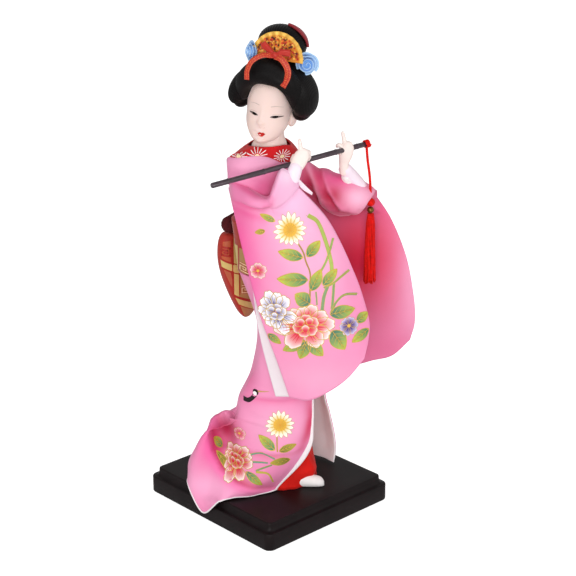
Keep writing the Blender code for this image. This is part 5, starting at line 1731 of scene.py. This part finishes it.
def chrysanthemum(ink, centre, radius, heart):
    """Sixteen long white petals round a yellow heart."""
    ring_of(
        ink, centre, 16, radius * heart * 0.8, radius, radius * 0.3, "#f0c860", "#fbf7ee", 0.1, 0.1,
        gold=0.22, power=0.6, neck=0.5
    )
    ring_of(
        ink, centre, 16, radius * heart * 0.4, radius * 0.72, radius * 0.2, "#dd9a22", "#f5e2a2",
        0.15, 0.3, gold=0.0, power=1.2, neck=0.5
    )
    disc(ink, centre, radius * heart, "#d9982a", "#e6b23c", 0.2)
    for k in range(14):
        a = 2 * math.pi * k / 14
        way = np.array([math.cos(a), math.sin(a)])
        ink.line(
            np.linspace(centre + way * radius * 0.1, centre + way * radius * heart, 4), 0.2,
            "#b87a1c", 0.26, "gold"
        )


PEONY = (
    (-9.9, 9.9, 9), (-1.7, 12.2, 9), (5.8, 13.3, 8.5), (13.9, 7.5, 9), (15.7, -7.0, 9), (19.1, 0.6, 9),
    (9.9, -13.3, 11), (-20.3, -2.9, 10), (-13.9, 4.1, 8.5), (-11.0, -14.5, 11),
)


def peony(ink, centre, scale, deep, pale, turn=0.0, depth=1.7):
    """Broad petals that fade to white at their edges, a ring of deep ones, and a cup of three."""
    centre = np.array(centre, float)
    spin = np.array(((math.cos(turn), math.sin(turn)), (-math.sin(turn), math.cos(turn))))
    for k, (x, z, wide) in enumerate(PEONY):
        tip = np.array((x, z)) @ spin * scale
        petal(
            ink, centre + tip * 0.12, centre + tip, wide * scale, deep, pale, 0.08 + 0.012 * k,
            notch=0.12, power=depth, gold=0.36
        )
        for bend in (-0.16, 0.0, 0.16):
            way = tip + bend * np.array((-tip[1], tip[0]))
            ink.line(
                np.linspace(centre + way * 0.3, centre + way * 0.68, 5), 0.8 * scale, deep,
                0.1 + 0.012 * k, taper=0.9
            )
    ring_of(
        ink, centre, 6, 0.8 * scale, 8.6 * scale, 7.2 * scale, deep, pale, 0.24, turn + 0.4, 0.85,
        notch=0.12, power=depth * 2, gold=0.3
    )
    for x, z in ((-2.6, 1.6), (2.6, 2.2), (0.2, -2.4)):
        cup = centre + np.array((x, z)) @ spin * scale
        petal(
            ink, cup - (0, 1.4 * scale), cup + (0, 2.8 * scale), 4.8 * scale, deep, pale, 0.32,
            power=depth, gold=0.28, neck=0.5
        )


def blossom(ink, centre, radius, deep, pale, petals=5, turn=0.3, heart="#e6b84a"):
    ring_of(
        ink, centre, petals, radius * 0.12, radius, radius * 0.85, deep, pale, 0.12, turn,
        notch=0.2, power=1.9, gold=0.22
    )
    for k in range(petals * 2):
        a = turn + math.pi * k / petals
        way = np.array([math.cos(a), math.sin(a)])
        ink.line(
            np.linspace(centre + way * 0.2, centre + way * radius * 0.6, 4), 0.34, deep, 0.2,
            taper=0.6
        )
    disc(ink, centre, radius * 0.16, heart, heart, 0.28)


FRONT = (ACROSS, np.array((0.0, 0.0, 1.0)), np.zeros(3))

# %% [markdown]
# On the near sleeve a chrysanthemum stands over leaves and long grass, a red peony and a white
# one fill the lower part, and a cherry blossom and a violet flower sit at the sides.

# %% Print of the near sleeve
ink = Ink(near_front, TOWARD, FRONT)
for path, width, code in (
    (((23.6, 194.2), (29.5, 189.7), (34.2, 178.0), (37.1, 166.8), (37.7, 161.0)), 2.2, "#a9bb5a"),
    (((38.4, 180.0), (36.5, 173.7), (34.2, 167.0), (31.2, 161.3)), 1.3, "#8fae5e"),
    (((48.0, 160.4), (43.1, 157.4), (38.3, 153.8), (33.0, 151.5)), 1.5, "#8ea45a"),
    (((35.4, 152.6), (33.1, 146.3), (31.9, 137.7)), 2.0, "#7f9a6c"),
    (((38.9, 154.0), (38.4, 145.5), (37.8, 138.7)), 1.5, "#7d9c66"),
    (((52.8, 145.9), (45.5, 146.7), (40.2, 142.4), (37.2, 136.2)), 1.5, "#7f9c62"),
    (((28.3, 149.4), (28.6, 146.0), (28.9, 141.4)), 0.9, "#7f9a78"),
):
    line = through(path, 24)
    ink.line(line, width, code, 0.08, taper=0.2)
    for side in (-1, 1):
        ink.line(line + (side * width / 2 * 0.95, 0), 0.22, OUTLINE, 0.12, "gold")
ink.line(
    through(((16.6, 180.5), (20.7, 173.5), (22.4, 167.5), (24.8, 160.9), (24.8, 153.7), (24.8, 146.0)), 30),
    0.9, "#a8863c", 0.1
)
TEAL, OLIVE = ("#2c6f66", "#b4c44c"), ("#6b6a2c", "#b9b04a")
for root, tip, width, tones in (
    ((4.4, 191.9), (-4.3, 195.8), 3.6, ()),
    ((-1.5, 186.1), (-7.3, 184.7), 3.0, OLIVE),
    ((20.7, 170.0), (6.1, 174.2), 6.8, ()),
    ((23.0, 170.5), (30.6, 179.6), 6.6, ()),
    ((23.6, 156.7), (5.4, 157.2), 8.4, ()),
    ((25.4, 150.1), (31.2, 162.5), 7.0, ()),
    ((32.4, 152.9), (40.7, 162.3), 6.0, ()),
    ((24.8, 142.2), (16.0, 148.3), 9.0, TEAL),
    ((36.6, 135.4), (51.5, 137.8), 8.0, TEAL),
    ((37.9, 125.8), (45.6, 114.2), 10.0, TEAL),
    ((60.0, 124.5), (49.8, 118.1), 6.0, ()),
    ((52.7, 129.7), (59.6, 134.0), 6.0, ()),
    ((0.0, 122.2), (7.7, 117.1), 4.6, TEAL),
    ((21.9, 120.4), (8.9, 112.9), 7.0, TEAL),
    ((23.1, 119.8), (18.9, 108.7), 7.5, TEAL),
    ((24.3, 119.3), (32.6, 110.9), 7.5, TEAL),
):
    leaf(ink, root, tip, width, 0.1, *tones)
chrysanthemum(ink, (13.1, 186.7), 9.4, 0.42)
blossom(ink, (-5.7, 161.6), 5.6, "#d8365e", "#fbe0e4")
peony(ink, (4.6, 136.6), 0.78, "#54468e", "#fbf6fb", 1.9, 0.8)
peony(ink, (21.9, 129.2), 1.0, "#d81f3c", "#fdf0ec", 0.0, 2.8)
blossom(ink, (47.9, 128.0), 6.2, "#4c2f86", "#d9cdee", 6, 0.2)
ink.finish("near_sleeve_print", "pink_satin")

# %% [markdown]
# The skirt carries a second chrysanthemum, a peony in the hollow of the train, and the black
# neck and head of a crane that comes out of a fold.

# %% Print of the skirt
ink = Ink(skirt_grid, TOWARD, FRONT, 0.35)
ink.line(through(((5.2, 56.0), (5.2, 51.0), (5.4, 46.8)), 10), 0.8, "#b98f35", 0.1)
for path, width, code in (
    (((-11.3, 43.4), (-4.0, 45.5), (3.9, 41.9)), 1.2, "#6f9a80"),
    (((-11.4, 39.1), (-5.0, 39.4), (-0.4, 39.3)), 1.2, "#6f9a80"),
    (((-7.7, 33.9), (-3.0, 36.0), (2.1, 37.9)), 1.2, "#7d9c66"),
    (((-7.7, 33.2), (-0.4, 31.9), (2.7, 24.8)), 1.4, "#c2b04a"),
):
    line = through(path, 16)
    ink.line(line, width, code, 0.08, taper=0.3)
    ink.line(line + (0, width / 2), 0.2, OUTLINE, 0.12, "gold")
for root, tip, width, tones in (
    ((3.9, 47.8), (-5.8, 56.4), 6.0, ()),
    ((6.4, 47.2), (16.8, 50.3), 4.4, OLIVE),
    ((13.1, 40.3), (0.9, 39.3), 5.0, OLIVE),
    ((-28.6, 43.4), (-34.0, 49.0), 3.6, ()),
    ((-32.3, 42.5), (-20.6, 28.5), 3.4, OLIVE),
    ((-13.8, 32.9), (-4.1, 24.5), 5.0, TEAL),
):
    leaf(ink, root, tip, width, 0.1, *tones)
chrysanthemum(ink, (7.0, 63.5), 8.6, 0.46)
blossom(ink, (-17.4, 55.0), 4.0, "#d8506e", "#f6c3cf")
peony(ink, (-19.6, 38.2), 0.66, "#cc1a34", "#fdeeea", 0.9, 3.0)
neck_line = through(((-14.8, 76.2), (-12.0, 76.3), (-9.9, 77.9), (-7.8, 80.8)), 14)
ink.line(neck_line, 2.4, "#1d1012", 0.12)
disc(ink, (-7.4, 82.4), 1.7, "#1d1012", "#1d1012", 0.14)
disc(ink, (-7.8, 81.6), 1.1, "#f7f2f0", "#f7f2f0", 0.2)
ink.line(np.linspace((-6.0, 83.2), (0.8, 84.2), 6), 0.9, "#c89a55", 0.16, taper=0.8)
ink.finish("skirt_print", "pink_satin")

# %% [markdown]
# The collar cloth is red with three white chrysanthemums drawn in thin strokes, partly cut off
# by the collar's edge.

# %% Print of the collar
ink = Ink(np.concatenate([collar_grid, collar_grid[:, :1]], axis=1), TOWARD, FRONT)
for cx, cz, size in ((-5.9, 228.2, 6.0), (8.7, 225.6, 5.0), (-16.4, 228.0, 5.0)):
    for k in range(14):
        a = 2 * math.pi * k / 14 + 0.1
        way = np.array([math.cos(a), math.sin(a) * 0.8])
        start = np.array((cx, cz)) + way * size * 0.34
        ink.line(np.linspace(start, start + way * size * 0.66, 5), 0.34, "#fbeeee", 0.12, taper=-0.4)
    disc(ink, (cx, cz), size * 0.26, "#f3d9a0", "#f6e6c4", 0.16, 0.8)
ink.finish("collar_print", "patterned_red")

# %% [markdown]
# The obi's brocade has broad gold bands that cross, with red key frets in the fields between
# them. On the real cloth these are floats of gold thread, so they stand up a little.

# %% Brocade pattern
bow_front = np.array(bow_rings)
band_front = obi_rings[:24]
ink = Ink([np.concatenate([g, g[:, :1]], axis=1) for g in (bow_front, band_front)], TOWARD, FRONT)


def block(corners, tint, lift, kind="dye"):
    """Field between four corners."""
    a, b, c, d = (np.array(corner, float) for corner in corners)
    t, s = np.linspace(0, 1, 20)[:, None, None], np.linspace(0, 1, 24)[None, :, None]
    ink.patch((a * (1 - s) + b * s) * (1 - t) + (d * (1 - s) + c * s) * t, colour(tint), lift, kind)


KHAKI, BAND, FRET = "#a97f4a", "#cdb26a", "#a32318"
block(((-27.0, 168.0), (-22.5, 168.5), (-22.5, 154.5), (-28.0, 157.0)), "#b4532f", 0.1)
block(((-17.8, 170.0), (-6.0, 170.0), (-6.0, 145.0), (-17.8, 149.0)), KHAKI, 0.1)
block(((-27.0, 150.5), (-22.5, 148.0), (-20.8, 136.0), (-23.0, 140.0)), "#b0583a", 0.1)
block(((-18.0, 146.5), (-6.0, 141.0), (-6.0, 124.0), (-18.5, 131.0)), KHAKI, 0.1)
block(((-20.6, 171.0), (-17.8, 171.0), (-17.8, 130.5), (-20.6, 132.5)), BAND, 0.14)
block(((-28.6, 156.5), (-6.0, 146.0), (-6.0, 141.5), (-28.0, 152.0)), BAND, 0.18)
block(((-20.0, 130.0), (-8.0, 123.0), (-8.0, 118.5), (-18.0, 125.0)), BAND, 0.14)
block(((-17.0, 123.5), (-9.5, 119.0), (-9.5, 114.5), (-14.5, 115.0)), "#b07a4c", 0.12)
for cx, cz, tone in ((-25.4, 162.0, FRET), (-13.8, 157.5, "#e9cf9c"), (-13.4, 135.0, "#e9cf9c")):
    box = np.array(
        (
            (-2.6, 2.9), (2.6, 1.9), (2.6, -3.1), (-2.6, -2.1), (-2.6, 1.2), (1.0, 0.5),
            (1.0, -1.2), (-0.8, -0.8), (-0.8, 0.0)
        )
    )
    for width, code, lift in ((1.3, FRET, 0.2), (0.6, tone, 0.24)):
        path = np.concatenate([np.linspace(box[k], box[k + 1], 5) for k in range(len(box) - 1)])
        path += 1e-4 * np.arange(len(path))[:, None]
        ink.line(np.array((cx, cz)) + path, width, code, lift)
for path in (
    ((-21.4, 171.0), (-21.4, 132.0)), ((-17.2, 170.0), (-17.2, 148.8)), ((-17.2, 146.0), (-17.4, 131.5)),
    ((-28.4, 157.4), (-6.0, 146.9)), ((-28.0, 151.2), (-6.0, 140.6)), ((-20.4, 131.0), (-7.0, 123.4)),
):
    ink.line(np.linspace(*path, 16), 0.7, FRET, 0.22)
ink.finish("obi_pattern", "obi_brocade")

# %% [markdown]
# The face is painted: narrow eyes under thin brows, and small red lips. Fine hairs are
# drawn at the edge of the forehead.

# %% Painted face
face_rows = local[:, SIDES // 2 :]
FACE = (np.array((1.0, 0, 0)), np.array((0, 0, 1.0)), np.zeros(3))
ink = Ink(face_rows, (0, -1, 0), FACE)
BLACK, BROWN = "#120c0c", "#8a6f64"
for s in (-1, 1):
    eye = np.array([(s * 3.6, -1.5), (s * 5.0, -0.9), (s * 6.6, -0.7), (s * 8.4, -0.9), (s * 9.9, -1.2)])
    low = np.array(
        [(s * 3.8, -1.6), (s * 5.0, -1.85), (s * 6.6, -1.85), (s * 8.2, -1.55), (s * 9.6, -1.25)]
    )
    upper, lower = through(eye, 24), through(low, 24)
    ink.patch(np.stack([upper, lower], axis=1), colour("#8f7c78"), 0.05)
    disc(ink, (s * 6.1, -1.3), 1.5, BLACK, BLACK, 0.09, 0.5)
    ink.line(upper, 0.42, BLACK, 0.12, taper=0.2)
    ink.line(lower[2:], 0.16, "#6d5148", 0.1)
    ink.line(upper[4:-3] + (0, 0.95), 0.16, "#c9a89c", 0.1)
    brow = through([(s * 3.4, 4.7), (s * 6.4, 5.1), (s * 9.6, 4.4)], 20)
    ink.line(brow, 0.32, "#b09c92", 0.08, taper=0.6)
    # Two small strokes of painted shade under the nose.
    ink.line(through([(s * 0.7, -8.3), (s * 1.3, -8.0), (s * 1.7, -7.5)], 8), 0.2, "#d9b3a6", 0.08)
LIP = "#c42a24"
upper_lip = through([(-2.3, -11.9), (-1.0, -10.9), (-0.1, -11.3), (0.8, -10.9), (2.1, -11.9)], 24)
middle = through([(-2.3, -11.9), (-0.1, -12.1), (2.1, -11.9)], 24)
lower_lip = through([(-2.3, -11.9), (-1.0, -13.3), (-0.1, -13.6), (0.8, -13.3), (2.1, -11.9)], 24)
ink.patch(np.stack([upper_lip, (upper_lip + middle) / 2, middle], axis=1), colour(LIP), 0.07)
ink.patch(np.stack([middle, (lower_lip + middle) / 2, lower_lip], axis=1), colour(LIP), 0.07)
ink.line(middle, 0.14, "#7d1512", 0.12)
rng = np.random.default_rng(4)
hairline = through(
    [(-11.0, 6.0), (-7.2, 13.9), (-2.1, 16.5), (1.6, 16.6), (5.5, 15.9), (8.4, 13.6), (11.0, 8.0)],
    60
)
for x, z in hairline:
    reach = rng.uniform(0.8, 2.2)
    ink.line(
        np.linspace((x * 1.02, z + 1.0), (x * 0.97 + rng.uniform(-0.1, 0.1), z - reach), 5), 0.1,
        BROWN, 0.06, taper=0.9
    )
for piece in ink.finish("face_paint", "skin_resin"):
    piece.data.transform(Matrix.Translation(HEAD * MM) @ Matrix(HEAD_AXES.tolist()).to_4x4())
    piece.data.materials[0] = paint

# %% [markdown]
# The fan's card is gold with small red and dark maple shapes, and the ribbon ends have a woven
# gold check.

# %% Fan pattern
spots_points, spots_faces, spots_tint = [], [], []
rng = np.random.default_rng(11)
for k in range(210):
    angle, r = rng.uniform(-1.4, 1.4), FAN_R * math.sqrt(rng.uniform(0.1, 0.7))
    cu, cv, size = r * math.sin(angle), r * math.cos(angle), rng.uniform(0.5, 1.15)
    code = ("#c8321c", "#9c2414", "#e0701f", "#4a1410", "#e8b04a")[k % 5]
    start = len(spots_points) * 11
    turn = rng.uniform(0, 6)
    star = [(0, 0)] + [
        (
            math.cos(turn + j * math.pi / 5) * size * (1 if j % 2 else 0.45),
            math.sin(turn + j * math.pi / 5) * size * (1 if j % 2 else 0.45)
        )
        for j in range(10)
    ]
    spots_points.append(
        [on_fan(np.array(cu + x), np.array(cv + y), np.array(1.36 + 0.0006 * k)) for x, y in star]
    )
    spots_faces += [(start, start + 1 + j, start + 1 + (j + 1) % 10) for j in range(10)]
    spots_tint += [colour(code)] * 11
fan_spots = add_mesh("fan_print", np.concatenate(spots_points), spots_faces, dye, None)
layer = fan_spots.data.color_attributes.new(SPREAD, "FLOAT_COLOR", "POINT")
layer.data.foreach_set("color", np.c_[spots_tint, np.ones(len(spots_tint))].astype(np.float32).ravel())

# %% [markdown]
# The white strip in the near sleeve is about 9 mm wide. The size is an estimate: it holds the
# area of the modelled piece, with up to a quarter more for the cut. 10 mm is the narrowest
# that can be declared.
# The obi's puff, its bow, the ribbon loops, the feet and the limbs are padded.

# %% [markdown]
# The hidden padding and wires keep the shape of their solids, in plain materials.

# %% Hidden pieces
for name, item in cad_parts.items():
    if item.hide_render:
        continue
    item.data.materials.clear()
    item.data.materials.append(steel if name.startswith("leg_wire") else cotton)
    print("kept", name)
